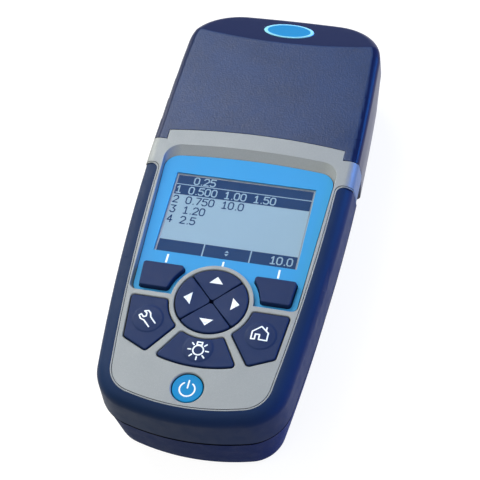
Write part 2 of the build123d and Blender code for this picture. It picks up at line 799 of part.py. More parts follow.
def board_screws():
    """Screws that hold the board to the front moulding."""
    head_z = BOARD_Z - BOARD_HEAD_T
    return [
        screw(x, y, head_z, BOARD_HEAD_R, BOARD_HEAD_T, BOARD_SCREW_R, BOARD_SCREW_LENGTH)
        for x, y in board_bosses()
    ]


def rear_plan(inset=0.0):
    """Plan outline of the rear moulding at the seam, set towards the lower end."""
    return Pos(0, -REAR_END_REACH) * plan(REAR_INSET + inset)


def rear_form(inset=0.0):
    """Tapered form of the rear moulding with its rounded lower edge."""
    top = SEAM_Z - GASKET_T
    foot = BACK_Z + inset
    form = drafted(rear_plan(inset), top, foot - top, REAR_DRAFT)
    return fillet(form.faces().sort_by(Axis.Z)[0].edges(), max(BACK_EDGE_R - inset, BACK_EDGE_R / 3))


def rear_case():
    """Rear moulding with the battery bay, door seat, screw columns and foot seats."""
    case = rear_form() - beyond(CAP_SEAM_Y)
    case -= rear_form(REAR_WALL) + slab(SEAM_Z - GASKET_T, SEAM_Z)
    frame_z = REBATE_Z + BAY_WALL
    frame = plate(2 * (DOOR_HALF + BAY_WALL), DOOR_LENGTH + 2 * BAY_WALL, frame_z - BACK_Z, DOOR_CORNER_R,
                  (0, BAY_Y), BACK_Z)
    case += frame & rear_form()
    bay_height = BAY_TOP_Z + BAY_WALL - BACK_Z
    case += plate(2 * (BAY_HALF + BAY_WALL), BAY_LENGTH + 2 * BAY_WALL, bay_height, BAY_WALL, (0, BAY_Y), BACK_Z)
    for y in door_screw_places():
        case += post(0, y, REBATE_Z, DOOR_BOSS_R, DOOR_BOSS_HEIGHT)
    case -= plate(2 * (DOOR_HALF + DOOR_GAP), DOOR_LENGTH + 2 * DOOR_GAP, REBATE_Z - BACK_Z,
                  DOOR_CORNER_R + DOOR_GAP, (0, BAY_Y), BACK_Z)
    case -= Pos(0, BAY_Y, BACK_Z) * Box(2 * BAY_HALF, BAY_LENGTH, BAY_TOP_Z - BACK_Z, align=BASE)
    for y in door_screw_places():
        case -= post(0, y, BACK_Z, DOOR_SCREW_R + SCREW_PLAY, DOOR_SCREW_LENGTH)
    for x, y in case_bosses():
        case += post(x, y, BACK_Z, CASE_COLUMN_R, SEAM_Z - GASKET_T - BACK_Z) & rear_form()
        case -= post(x, y, BACK_Z, CASE_HEAD_R + HOLE_PLAY, CASE_SINK_Z - BACK_Z)
        case -= post(x, y, BACK_Z, CASE_SCREW_R + HOLE_PLAY, SEAM_Z)
    for x, y in head_screw_places():
        case -= post(x, y, BACK_Z, CASE_HEAD_R + HOLE_PLAY, HEAD_SCREW_SINK)
        case -= post(x, y, BACK_Z, CASE_SCREW_R + HOLE_PLAY, 2 * REAR_WALL)
    for x, y in foot_places():
        case -= post(x, y, BACK_Z, FOOT_R + FIT_GAP, FOOT_SEAT)
    return case


def case_gasket():
    """Seal between the front and rear mouldings, open where the head plugs in."""
    low = SEAM_Z - GASKET_T
    outer = drafted(rear_plan(GASKET_EDGE), low, GASKET_T)
    return outer - drafted(rear_plan(GASKET_EDGE + GASKET_W), low, GASKET_T) - beyond(CAP_SEAM_Y)


def case_screws():
    """Long screws from the back into the front moulding."""
    head_z = CASE_SINK_Z - CASE_HEAD_T
    return [
        screw(x, y, head_z, CASE_HEAD_R, CASE_HEAD_T, CASE_SCREW_R, CASE_SCREW_LENGTH)
        for x, y in case_bosses()
    ]


def head_screws():
    """Short screws from the back into the measuring head."""
    head_z = BACK_Z + HEAD_SCREW_SINK - HEAD_SCREW_T
    return [
        screw(x, y, head_z, CASE_HEAD_R, HEAD_SCREW_T, CASE_SCREW_R, HEAD_SCREW_LENGTH)
        for x, y in head_screw_places()
    ]


def foot(x, y):
    """Round rubber foot let into the back."""
    pad = post(x, y, 0, FOOT_R, FOOT_PROUD + FOOT_SEAT - GASKET_GAP)
    return fillet(pad.faces().sort_by(Axis.Z)[0].edges(), FOOT_PROUD / 2)


def cell_places():
    """Centre of each battery cell across the bay, and the way its raised end points."""
    middle = (CELL_COUNT - 1) / 2
    return [((index - middle) * CELL_PITCH, 1 if index % 2 else -1) for index in range(CELL_COUNT)]


def along_y(shape, way):
    """A shape built upwards, laid along Y, pointing the given way."""
    return Rot(-90 * way, 0, 0) * shape


def battery_cell(x, way):
    """Round cell with a raised contact at one end, held against that contact plate."""
    nub_y = BAY_LENGTH / 2 - CONTACT_T - CONTACT_GAP
    can = Pos(0, 0, nub_y - CELL_NUB - CELL_LENGTH) * Cylinder(CELL_R, CELL_LENGTH, align=BASE)
    can = fillet(can.edges(), CELL_EDGE_R)
    can += Pos(0, 0, nub_y - CELL_NUB) * Cylinder(CELL_NUB_R, CELL_NUB, align=BASE)
    return Pos(x, BAY_Y, CELL_Z) * along_y(can, way)


def battery_plates():
    """Flat contacts at the raised ends of the cells."""
    tab = Pos(0, 0, BAY_LENGTH / 2 - CONTACT_T) * Box(CONTACT_W, CONTACT_W, CONTACT_T, align=BASE)
    return [Pos(x, BAY_Y, CELL_Z) * along_y(tab, way) for x, way in cell_places()]


def battery_springs():
    """Bowed leaf contacts at the flat ends of the cells."""
    reach = BAY_LENGTH - CELL_LENGTH - CELL_NUB - CONTACT_T - 2 * CONTACT_GAP
    half = CONTACT_W / 2
    crown = ThreePointArc((half, 0), (0, reach), (-half, 0))
    belly = ThreePointArc((-half + CONTACT_T, 0), (0, reach - CONTACT_T), (half - CONTACT_T, 0))
    feet = [Line((-half, 0), (-half + CONTACT_T, 0)), Line((half - CONTACT_T, 0), (half, 0))]
    leaf = extrude(make_face([crown, feet[0], belly, feet[1]]), CONTACT_W / 2, both=True)
    seat = Pos(0, BAY_Y, CELL_Z)
    return [
        seat * Pos(x, -way * BAY_LENGTH / 2, 0) * Rot(0, 0, 0 if way > 0 else 180) * leaf
        for x, way in cell_places()
    ]


def door_screw_places():
    """Stations of the two door screws."""
    return (BAY_Y - DOOR_SCREW_REACH, BAY_Y + DOOR_SCREW_REACH)


def battery_door():
    """Cover of the battery bay, flush with the back."""
    door = plate(2 * DOOR_HALF, DOOR_LENGTH, DOOR_T, DOOR_CORNER_R, (0, BAY_Y), BACK_Z)
    for y in door_screw_places():
        door -= post(0, y, BACK_Z, DOOR_SCREW_R + HOLE_PLAY, DOOR_T)
        door -= post(0, y, BACK_Z, DOOR_HEAD_R + HOLE_PLAY, DOOR_HEAD_T + HOLE_PLAY)
    return door


def door_gasket():
    """Seal on the door round the mouth of the bay."""
    inner_x = 2 * (BAY_HALF + DOOR_SEAL_EDGE)
    inner_y = BAY_LENGTH + 2 * DOOR_SEAL_EDGE
    wide = 2 * DOOR_SEAL_W
    outer = plate(inner_x + wide, inner_y + wide, DOOR_SEAL_T, DOOR_SEAL_W, (0, BAY_Y), DOOR_TOP_Z)
    return outer - Pos(0, BAY_Y, DOOR_TOP_Z) * Box(inner_x, inner_y, DOOR_SEAL_T, align=BASE)


def door_screw(y):
    """Screw that stays in the door."""
    return screw(0, y, BACK_Z + GASKET_GAP, DOOR_HEAD_R, DOOR_HEAD_T, DOOR_SCREW_R, DOOR_SCREW_LENGTH - HOLE_PLAY)


def badge_seat():
    """Place of the badge on the slope of the cap."""
    drop = (BADGE_Y - BEVEL_Y) * tan(radians(BEVEL_SLOPE))
    return Pos(0, BADGE_Y, HEIGHT - drop) * Rot(-BEVEL_SLOPE, 0, 0)


def cap_shell():
    """Cap over the measuring head: open below, notched for the lip of the face."""
    shell = (hull() - hull(CAP_WALL)) & beyond(CAP_SEAM_Y, PART_GAP)
    shell -= tongue(PART_GAP)
    seat = Ellipse(BADGE_LONG / 2 + FIT_GAP, BADGE_SHORT / 2 + FIT_GAP)
    return shell - badge_seat() * extrude(Pos(0, 0, -BADGE_SUNK) * seat, 2 * BADGE_T)


def cap_badge():
    """Bare oval badge."""
    face = Ellipse(BADGE_LONG / 2, BADGE_SHORT / 2)
    badge = extrude(Pos(0, 0, GASKET_GAP - BADGE_SUNK) * face, BADGE_T)
    return badge_seat() * fillet(badge.faces().sort_by(Axis.Z)[-1].edges(), BADGE_EDGE_R)


def ahead(y):
    """Everything on the cap side of an upright plane."""
    return Pos(0, y + FAR / 2, 0) * Box(FAR, FAR, FAR)


def plug_form(wall=0.0):
    """Upright form that fits the open end of the housing, or its hollow where a wall is given."""
    face = plan(FRONT_CAVITY + PLUG_GAP + wall)
    top = PLATE_Z - PART_GAP - wall
    return drafted(face, PLUG_FOOT_Z + wall, top - PLUG_FOOT_Z - wall)


def head_arms():
    """Housings of the light source and the receiver, either side of the well."""
    block = Pos(0, WELL_Y, DECK_Z) * Box(2 * ARM_REACH, 2 * ARM_HALF, ARM_TOP_Z - DECK_Z, align=BASE)
    block = fillet(block.edges().filter_by(Axis.Z), ARM_EDGE_R)
    pocket = Box(POCKET_DEPTH, 2 * POCKET_HALF, 2 * POCKET_HALF)
    for side in (-1, 1):
        block -= Pos(side * (ARM_REACH - POCKET_DEPTH / 2), WELL_Y, BEAM_Z) * pocket
        block -= beam(side * LENS_SEAT_X, WELL_Y, BEAM_Z, TUNNEL_R, side * (ARM_REACH - LENS_SEAT_X))
    return block


def head_block():
    """Measuring head: plug, collar for the cap, deck, and the tower round the well."""
    sleeve = hull(SLIDE_INSET) - ahead(COLLAR_Y)
    block = sleeve & beyond(CAP_SEAM_Y, PART_GAP)
    plug = plug_form() - beyond(CAP_SEAM_Y, 2 * PART_GAP)
    block += plug & ahead(PLUG_Y)
    deck = hull(SLIDE_INSET) & slab(DECK_Z, DECK_Z + DECK_T) & ahead(COLLAR_Y - PLUG_WALL)
    block += deck - ahead(DECK_Y)
    block -= (plug_form(PLUG_WALL) & ahead(PLUG_Y)) - ahead(COLLAR_Y - PLUG_WALL)
    boss_z = BACK_Z + REAR_WALL + PART_GAP
    for x, y in head_screw_places():
        block += post(x, y, boss_z, CASE_BOSS_R, HEAD_BOSS_HEIGHT)
        block -= post(x, y, boss_z, CASE_SCREW_R + SCREW_PLAY, HEAD_SCREW_LENGTH)
    arms = head_arms()
    tower = post(0, WELL_Y, DECK_Z, TOWER_R, TOWER_TOP_Z - DECK_Z)
    for side in (-1, 1):
        tower -= beam(side * LENS_SEAT_X, WELL_Y, BEAM_Z, TUNNEL_R, side * TOWER_R)
    block += (arms - post(0, WELL_Y, DECK_Z, TOWER_R, TOWER_TOP_Z)) + tower
    block -= post(0, WELL_Y, TOWER_TOP_Z - WELL_DEPTH, WELL_R, WELL_DEPTH)
    block -= beam(-LENS_SEAT_X, WELL_Y, BEAM_Z, BEAM_R, 2 * LENS_SEAT_X)
    seal_z = TOWER_TOP_Z - SEAL_SINK
    block -= ring(WELL_Y, SEAL_R + SEAL_W + FIT_GAP, SEAL_R - FIT_GAP, seal_z, SEAL_T)
    socket = Box(USB_W + 2 * FIT_GAP, 4 * PLUG_WALL, USB_H + 2 * FIT_GAP)
    return block - Pos(USB_X, COLLAR_Y, USB_Z) * socket


def well_seal():
    """Ring in the top of the tower round the mouth of the well."""
    return ring(WELL_Y, SEAL_R + SEAL_W, SEAL_R, TOWER_TOP_Z - SEAL_SINK + GASKET_GAP, SEAL_T)


def optic_board(side):
    """Small board on the floor of a pocket."""
    start = ARM_REACH - POCKET_DEPTH + FIT_GAP
    wide = 2 * (POCKET_HALF - FIT_GAP)
    return Pos(side * (start + OPTIC_BOARD_T / 2), WELL_Y, BEAM_Z) * Box(OPTIC_BOARD_T, wide, wide)


def optic_cover(side):
    """Cover flush with the end of a pocket."""
    wide = 2 * (POCKET_HALF - FIT_GAP)
    return Pos(side * (ARM_REACH - COVER_T / 2), WELL_Y, BEAM_Z) * Box(COVER_T, wide, wide)


def optic_disc(side):
    """Lens or filter on the floor of a light tunnel."""
    return beam(side * (LENS_SEAT_X + GASKET_GAP), WELL_Y, BEAM_Z, TUNNEL_R - FIT_GAP, side * LENS_T)


def light_source(index):
    """One of four lamps on the source board, with a rounded end towards the well."""
    turn = radians(45 + 90 * index)
    y = WELL_Y + LED_CIRCLE_R * cos(turn)
    z = BEAM_Z + LED_CIRCLE_R * sin(turn)
    start = ARM_REACH - POCKET_DEPTH + FIT_GAP
    body = beam(-start, y, z, LED_R, LED_LENGTH - LED_R)
    return body + Pos(LED_LENGTH - LED_R - start, y, z) * Sphere(LED_R)


def photodiode():
    """Receiver can with its flange against the board."""
    start = ARM_REACH - POCKET_DEPTH + FIT_GAP
    can = beam(start, WELL_Y, BEAM_Z, DIODE_R, -DIODE_LENGTH)
    return can + beam(start, WELL_Y, BEAM_Z, DIODE_R + DIODE_RIM, -DIODE_RIM)


def usb_port():
    """Metal socket in the end of the collar."""
    depth = USB_DEPTH
    shell = Box(USB_W, depth, USB_H) - Pos(0, USB_WALL, 0) * Box(USB_W - 2 * USB_WALL, depth, USB_H - 2 * USB_WALL)
    return Pos(USB_X, COLLAR_Y - depth / 2, USB_Z) * shell


def usb_plug():
    """Rubber plug of the socket, with a tab to pull it by."""
    start = COLLAR_Y + FIT_GAP
    flange = along_y(extrude(RectangleRounded(PLUG_FLANGE_W, PLUG_FLANGE_H, PLUG_CORNER_R), PLUG_FLANGE_T), 1)
    plug = Pos(USB_X, start, USB_Z) * flange
    tongue_x = USB_W - 2 * USB_WALL - 2 * PLUG_PLAY
    tongue_z = USB_H - 2 * USB_WALL - 2 * PLUG_PLAY
    plug += Pos(USB_X, start - PLUG_TONGUE / 2, USB_Z) * Box(tongue_x, PLUG_TONGUE, tongue_z)
    tab = Box(PLUG_TAB_W, PLUG_TAB_T, PLUG_FLANGE_H / 2 + PLUG_TAB_RISE, align=BASE)
    return plug + Pos(USB_X, start + PLUG_FLANGE_T - PLUG_TAB_T / 2, USB_Z) * tab


def pieces():
    """Every piece by its name."""
    table = {
        "front_shell": front_shell(),
        "grip_overmould": grip_overmould(),
        "rear_case": rear_case(),
        "case_gasket": case_gasket(),
        "case_screws": case_screws(),
        "head_screws": head_screws(),
        "cap_shell": cap_shell(),
        "cap_badge": cap_badge(),
        "display_overlay": display_overlay(),
        "display_window": display_window(),
        "lcd_panel": lcd_panel(),
        "backlight": backlight(),
        "main_board": main_board(),
        "board_screws": board_screws(),
        "keypad_mat": keypad_mat(),
        "key_up": arrow_key(0),
        "key_left": arrow_key(90),
        "key_down": arrow_key(180),
        "key_right": arrow_key(270),
        "soft_key_left": soft_key(-1),
        "soft_key_right": soft_key(1),
        "settings_key": side_key(-1),
        "home_key": side_key(1),
        "lamp_key": lamp_key(),
        "power_key": power_key(),
        "head_block": head_block(),
        "well_seal": well_seal(),
        "led_board": optic_board(-1),
        "detector_board": optic_board(1),
        "source_cover": optic_cover(-1),
        "detector_cover": optic_cover(1),
        "source_lens": optic_disc(-1),
        "detector_filter": optic_disc(1),
        "photodiode": photodiode(),
        "usb_port": usb_port(),
        "usb_plug": usb_plug(),
        "battery_plates": battery_plates(),
        "battery_springs": battery_springs(),
        "battery_door": battery_door(),
        "door_gasket": door_gasket(),
    }
    for index in range(LED_COUNT):
        table[f"led_{index + 1}"] = light_source(index)
    for index, (x, way) in enumerate(cell_places()):
        table[f"battery_cell_{index + 1}"] = battery_cell(x, way)
    for index, y in enumerate(door_screw_places()):
        table[f"door_screw_{index + 1}"] = door_screw(y)
    for index, (x, y) in enumerate(foot_places()):
        table[f"foot_{index + 1}"] = foot(x, y)
    return table


def write(name, shape):
    """Write one node, a group of separate solids where it has several."""
    solids = [piece.solids()[0] for piece in shape] if isinstance(shape, list) else shape.solids()
    export_step(solids[0] if len(solids) == 1 else Compound(children=solids), f"parts/{name}.step")


os.makedirs("parts", exist_ok=True)
for name, shape in pieces().items():
    write(name, shape)
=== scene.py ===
"""Looks of the portable colorimeter: finishes, printed marks, display picture, light and camera."""

import json
import logging
import math
from collections.abc import Iterable, Sequence
from dataclasses import asdict, dataclass, field
from enum import Enum
from functools import cache, reduce

import bmesh
import bpy
from bmesh.types import BMesh
from bpy.types import ID, Material, Node, NodeTree, Object, World
from bpy.types import NodeSocket as Socket
from mathutils import Matrix, Vector
from mathutils.bvhtree import BVHTree
from mathutils.geometry import delaunay_2d_cdt

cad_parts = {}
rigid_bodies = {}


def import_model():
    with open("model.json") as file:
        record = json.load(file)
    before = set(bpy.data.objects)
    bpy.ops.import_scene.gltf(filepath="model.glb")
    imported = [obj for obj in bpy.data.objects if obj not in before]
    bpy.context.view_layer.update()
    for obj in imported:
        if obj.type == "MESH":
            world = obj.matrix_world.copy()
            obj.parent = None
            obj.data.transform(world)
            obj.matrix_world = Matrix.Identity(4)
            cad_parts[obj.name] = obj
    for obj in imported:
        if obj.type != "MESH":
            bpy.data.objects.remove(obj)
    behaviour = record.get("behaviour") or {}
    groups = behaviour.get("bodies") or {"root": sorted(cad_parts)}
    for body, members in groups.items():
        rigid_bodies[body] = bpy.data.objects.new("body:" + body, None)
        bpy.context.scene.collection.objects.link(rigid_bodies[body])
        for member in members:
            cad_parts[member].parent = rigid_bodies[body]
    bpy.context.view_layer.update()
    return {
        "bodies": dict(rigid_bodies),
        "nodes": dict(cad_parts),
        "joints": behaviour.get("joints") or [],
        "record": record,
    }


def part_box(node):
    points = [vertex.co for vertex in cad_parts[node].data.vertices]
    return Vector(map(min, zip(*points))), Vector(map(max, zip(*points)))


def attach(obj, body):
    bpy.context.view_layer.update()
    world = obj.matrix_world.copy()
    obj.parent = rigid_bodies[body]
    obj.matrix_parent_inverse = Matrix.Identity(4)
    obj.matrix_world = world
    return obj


LOG = logging.getLogger("colorimeter")
MM = 0.001

Colour = tuple[float, float, float]
Point = tuple[float, float]
Place = tuple[float, float, float]
Inputs = dict[str | int, object]

WHITE: Colour = (1.0, 1.0, 1.0)
NOISE_MIDDLE: Point = (0.3, 0.7)
NOISE_ROUGHNESS = 0.55
EDGE_TURN: Point = (0.80, 0.995)
RAY_KINDS = ("Camera", "Glossy", "Transmission")
JOINT_STEPS = 12


def srgb(red: int, green: int, blue: int) -> Colour:
    """Linear colour of a screen colour, whose components run from 0 to 255."""
    shares = [value / 255 for value in (red, green, blue)]
    return tuple(s / 12.92 if s <= 0.04045 else ((s + 0.055) / 1.055) ** 2.4 for s in shares)


def shaded(colour: Colour, factor: float) -> Colour:
    """Same colour, lighter or darker by a factor."""
    return tuple(min(component * factor, 1.0) for component in colour)


class Wiring:
    """Nodes and links of one material or world."""

    def __init__(self, owner: Material | World, kind: str = "Material") -> None:
        """Starts with an output alone.

        Args:
            owner: New material or world.
            kind: Kind of its output.
        """
        self.owner = owner
        owner.use_nodes = True
        self.tree = owner.node_tree
        self.tree.nodes.clear()
        self.output = self.add("Output" + kind)

    def add(self, kind: str, inputs: Inputs | None = None, **options: object) -> Node:
        """Adds a node.

        Args:
            kind: Type of the node without its common first part.
            inputs: Values or sockets by input name or number.
            options: Properties of the node.

        Returns:
            The new node.
        """
        node = self.tree.nodes.new("ShaderNode" + kind)
        for key, value in options.items():
            setattr(node, key, value)
        for key, value in (inputs or {}).items():
            self.feed(node.inputs[key], value)
        return node

    def feed(self, socket: Socket, value: object) -> None:
        """Links a socket to another one, or sets its value.

        Args:
            socket: Input to feed.
            value: Output socket, number or colour.
        """
        if isinstance(value, Socket):
            self.tree.links.new(value, socket)
        elif isinstance(value, tuple) and len(value) == 3 and socket.type == "RGBA":
            socket.default_value = (*value, 1.0)
        else:
            socket.default_value = value

    def place(self) -> Socket:
        """Position on the piece, in metres."""
        return self.add("TexCoord").outputs["Object"]

    def split(self, vector: Socket, axis: str) -> Socket:
        """One component of a vector."""
        return self.add("SeparateXYZ", {"Vector": vector}).outputs[axis]

    def facing(self, axis: str) -> Socket:
        """How far the surface faces along an axis, from 0 to 1."""
        return self.sums("ABSOLUTE", self.split(self.add("NewGeometry").outputs["Normal"], axis))

    def noise(self, size: float, detail: float = 2.0, vector: Socket | None = None) -> Socket:
        """Noise from 0 to 1, with grains of a size in metres and a number of finer layers."""
        inputs = {"Vector": vector or self.place(), "Scale": 1 / size, "Detail": detail}
        return self.add("TexNoise", inputs | {"Roughness": NOISE_ROUGHNESS}).outputs["Fac"]

    def ranged(self, value: Socket, low: float, high: float, start: float = 0.0, end: float = 1.0,
               curve: str = "LINEAR") -> Socket:
        """Runs from low to high while the value runs from start to end, and holds there."""
        inputs = {"Value": value, "From Min": start, "From Max": end, "To Min": low, "To Max": high}
        return self.add("MapRange", inputs, interpolation_type=curve).outputs["Result"]

    def varied(self, noise: Socket, value: float, share: float) -> Socket:
        """A value that follows a noise up and down by a share of itself."""
        return self.ranged(noise, value * (1 - share), value * (1 + share), *NOISE_MIDDLE)

    def sums(self, operation: str, first: object, second: object = 0.0) -> Socket:
        """Result of one sum of one or two values."""
        return self.add("Math", {0: first, 1: second}, operation=operation).outputs[0]

    def mixed(self, factor: Socket, first: object, second: object, share: float = 1.0) -> Socket:
        """Colour between two colours, with a share of the second where the factor is 1."""
        factor = self.sums("MULTIPLY", factor, share) if share < 1.0 else factor
        return self.add("Mix", {0: factor, 6: first, 7: second}, data_type="RGBA").outputs[2]

    def edges(self, radius: float) -> tuple[Socket, Socket]:
        """Rounded normal, and where the surface turns sharply.

        Args:
            radius: Radius of the rounding in metres.

        Returns:
            The rounded normal, and a mask that is 1 on edges.
        """
        rounded = self.add("Bevel", {"Radius": radius}, samples=6).outputs["Normal"]
        true = self.add("NewGeometry").outputs["Normal"]
        dot = self.add("VectorMath", {0: rounded, 1: true}, operation="DOT_PRODUCT")
        return rounded, self.ranged(dot.outputs["Value"], 1.0, 0.0, *EDGE_TURN)

    def bump(self, height: Socket, depth: float, normal: Socket | None = None) -> Socket:
        """Normal with the relief of a height from 0 to 1, which is so many metres deep."""
        shape = {"Height": height, "Distance": depth, "Strength": 1.0}
        return self.add("Bump", shape | ({"Normal": normal} if normal else {})).outputs["Normal"]

    def seen(self) -> Socket:
        """1 for rays from the camera, from glossy surfaces and through glass."""
        kinds = (self.add("LightPath").outputs[f"Is {kind} Ray"] for kind in RAY_KINDS)
        return reduce(lambda first, second: self.sums("MAXIMUM", first, second), kinds)

    def finish(self, shader: Node) -> Material | World:
        """Joins the last shader to the output and returns the finished material or world."""
        self.feed(self.output.inputs["Surface"], shader.outputs[0])
        return self.owner


@dataclass(frozen=True)
class Look:
    """Surface with one shader."""

    name: str
    colour: Colour

    @cache
    def material(self) -> Material:
        """Node material of the surface, made the first time it is asked for."""
        wiring = Wiring(bpy.data.materials.new(self.name))
        return wiring.finish(wiring.add("BsdfPrincipled", self.inputs(wiring)))

    def inputs(self, wiring: Wiring) -> Inputs:
        """Shader inputs; a plain surface has its colour alone."""
        return {"Base Color": self.colour}


@dataclass(frozen=True)
class Finish(Look):
    """Moulded or painted surface with grain, colour drift, painted highlights on its edges, and
    painted shade in its seam and crevices where it has them.
    """

    roughness: float = 0.5
    specular: float = 0.5
    metallic: float = 0.0
    grain: float = 0.35 * MM
    relief: float = 0.012 * MM
    drift: float = 0.06
    drift_size: float = 22 * MM
    drift_share: float = 0.6
    speckle_size: float = 1.7
    gloss_drift: float = 0.12
    edge_radius: float = 0.25 * MM
    edge_light: float = 1.35
    edge_share: float = 0.6
    coat: float = 0.0
    coat_roughness: float = 0.1
    sheen: float = 0.0
    seam_z: float = -1.0
    seam_width: float = 0.9 * MM
    seam_core: float = 0.6
    seam_shade: float = 0.1
    crevice: float = 0.0
    crevice_shade: float = 0.12
    crevice_range: Point = (0.3, 0.8)

    def inputs(self, wiring: Wiring) -> Inputs:
        """Shader inputs of the finish.

        Args:
            wiring: Nodes of the material.

        Returns:
            Values and sockets by name.
        """
        rounded, edge = wiring.edges(self.edge_radius)
        # Painted highlight: sharp edges are mixed towards a lighter copy of the colour.
        light = shaded(self.colour, self.edge_light)
        colour = wiring.mixed(edge, self.tint(wiring), light, self.edge_share)
        # Painted shade: grooves and narrow gaps are darkened by ambient occlusion.
        colour = self.grime(wiring, colour)
        # Painted shadow along the parting line: nearly black and without gloss.
        dust = self.seam(wiring)
        grain = wiring.noise(self.grain)
        return {
            "Base Color": self.dusty(wiring, dust, colour),
            "Metallic": self.metallic,
            "Roughness": wiring.varied(self.scuffs(wiring), self.roughness, self.gloss_drift),
            "Specular IOR Level": self.gloss(wiring, dust),
            "Coat Weight": self.coat,
            "Coat Roughness": self.coat_roughness,
            "Sheen Weight": self.sheen,
            "Normal": wiring.bump(grain, self.relief, self.form(wiring, rounded)),
        }

    def form(self, wiring: Wiring, normal: Socket) -> Socket:
        """Normal of a larger shape under the grain; the plain finish has none."""
        return normal

    def tint(self, wiring: Wiring) -> Socket:
        """Colour with a slow drift and a fine speckle.

        Args:
            wiring: Nodes of the material.

        Returns:
            The colour.
        """
        slow = wiring.noise(self.drift_size, 3.0)
        fine = wiring.noise(self.grain * self.speckle_size, 1.0)
        both = wiring.sums("ADD", wiring.sums("MULTIPLY", slow, self.drift_share),
                           wiring.sums("MULTIPLY", fine, 1 - self.drift_share))
        share = wiring.ranged(both, 0.0, 1.0, *NOISE_MIDDLE)
        dark, light = (shaded(self.colour, 1 + way * self.drift) for way in (-1, 1))
        return wiring.mixed(share, dark, light)

    def scuffs(self, wiring: Wiring) -> Socket:
        """Patches of handling that change the gloss."""
        return wiring.noise(self.drift_size / 4, 4.0)

    def seam(self, wiring: Wiring) -> Socket | None:
        """Where the painted shadow of the parting line lies.

        Args:
            wiring: Nodes of the material.

        Returns:
            1 in the line and 0 elsewhere, or nothing where the finish has no seam.
        """
        if self.seam_z < 0:
            return None
        above = wiring.sums("SUBTRACT", wiring.split(wiring.place(), "Z"), self.seam_z)
        away = wiring.sums("ABSOLUTE", above)
        return wiring.ranged(away, 1.0, 0.0, self.seam_width * self.seam_core, self.seam_width)

    def grime(self, wiring: Wiring, colour: Socket) -> Socket:
        """Paints shade into grooves and narrow gaps, from ambient occlusion.

        Args:
            wiring: Nodes of the material.
            colour: Colour of the open surface.

        Returns:
            The colour, unchanged where the finish has no painted crevice shade.
        """
        if not self.crevice:
            return colour
        # Painted shade: the less open the surface around, the darker the colour.
        free = wiring.add("AmbientOcclusion", {"Distance": self.crevice}, samples=6).outputs["AO"]
        free = wiring.ranged(free, 0.0, 1.0, *self.crevice_range)
        return wiring.mixed(free, shaded(self.colour, self.crevice_shade), colour)

    def dusty(self, wiring: Wiring, dust: Socket | None, colour: Socket) -> Socket:
        """Colour, nearly black in the painted seam shadow."""
        dark = shaded(self.colour, self.seam_shade)
        return colour if dust is None else wiring.mixed(dust, colour, dark)

    def gloss(self, wiring: Wiring, dust: Socket | None) -> Socket | float:
        """Specular level, none in the painted seam shadow."""
        return self.specular if dust is None else wiring.ranged(dust, self.specular, 0.0)


@dataclass(frozen=True)
class MetallicPaint(Finish):
    """Satin paint with fine bright flakes."""

    flake: float = 0.22 * MM
    flake_light: float = 1.16
    flake_share: float = 0.55
    flake_start: float = 0.55

    def tint(self, wiring: Wiring) -> Socket:
        """Colour with flakes that differ from cell to cell.

        Args:
            wiring: Nodes of the material.

        Returns:
            The colour.
        """
        base = super().tint(wiring)
        cells = wiring.add("TexVoronoi", {"Vector": wiring.place(), "Scale": 1 / self.flake})
        chance = wiring.add("SeparateColor", {"Color": cells.outputs["Color"]}).outputs["Red"]
        bright = wiring.ranged(chance, 0.0, self.flake_share, self.flake_start, 1.0)
        return wiring.mixed(bright, base, shaded(self.colour, self.flake_light))


@dataclass(frozen=True)
class DomedKey(Finish):
    """Key skin with a crisp foot round the dome that carries its sign."""

    dome_x: float = 0.0
    dome_y: float = 0.0
    dome_radius: float = 7.0 * MM
    dome_slope: float = 1.2 * MM
    dome_height: float = 0.25 * MM

    def form(self, wiring: Wiring, normal: Socket) -> Socket:
        """Normal with the foot of the dome.

        Args:
            wiring: Nodes of the material.
            normal: Normal of the bare surface.

        Returns:
            The new normal.
        """
        level = {axis: wiring.split(wiring.place(), axis) for axis in "XY"}
        ends = {0: wiring.add("CombineXYZ", level).outputs[0], 1: (self.dome_x, self.dome_y, 0.0)}
        away = wiring.add("VectorMath", ends, operation="DISTANCE").outputs["Value"]
        top = self.dome_radius - self.dome_slope
        rise = wiring.ranged(away, 1.0, 0.0, top, self.dome_radius, "SMOOTHSTEP")
        return wiring.bump(rise, self.dome_height, normal)


@dataclass(frozen=True)
class RimmedBadge(Finish):
    """Glossy oval plate with a lighter rim and a plain middle."""

    rim: Colour = WHITE
    rim_start: float = 0.74
    rim_blur: float = 0.03
    half_x: float = 12.5 * MM
    half_y: float = 6.45 * MM
    centre_y: float = 103.15 * MM

    def tint(self, wiring: Wiring) -> Socket:
        """Colour of the middle and of the rim.

        Args:
            wiring: Nodes of the material.

        Returns:
            The colour.
        """
        squares = []
        for axis, centre, half in (("X", 0.0, self.half_x), ("Y", self.centre_y, self.half_y)):
            away = wiring.sums("SUBTRACT", wiring.split(wiring.place(), axis), centre)
            share = wiring.sums("DIVIDE", away, half)
            squares.append(wiring.sums("MULTIPLY", share, share))
        reach = wiring.sums("ADD", *squares)
        start, end = self.rim_start - self.rim_blur, self.rim_start + self.rim_blur
        rim = wiring.ranged(reach, 0.0, 1.0, start, end)
        return wiring.mixed(rim, super().tint(wiring), self.rim)


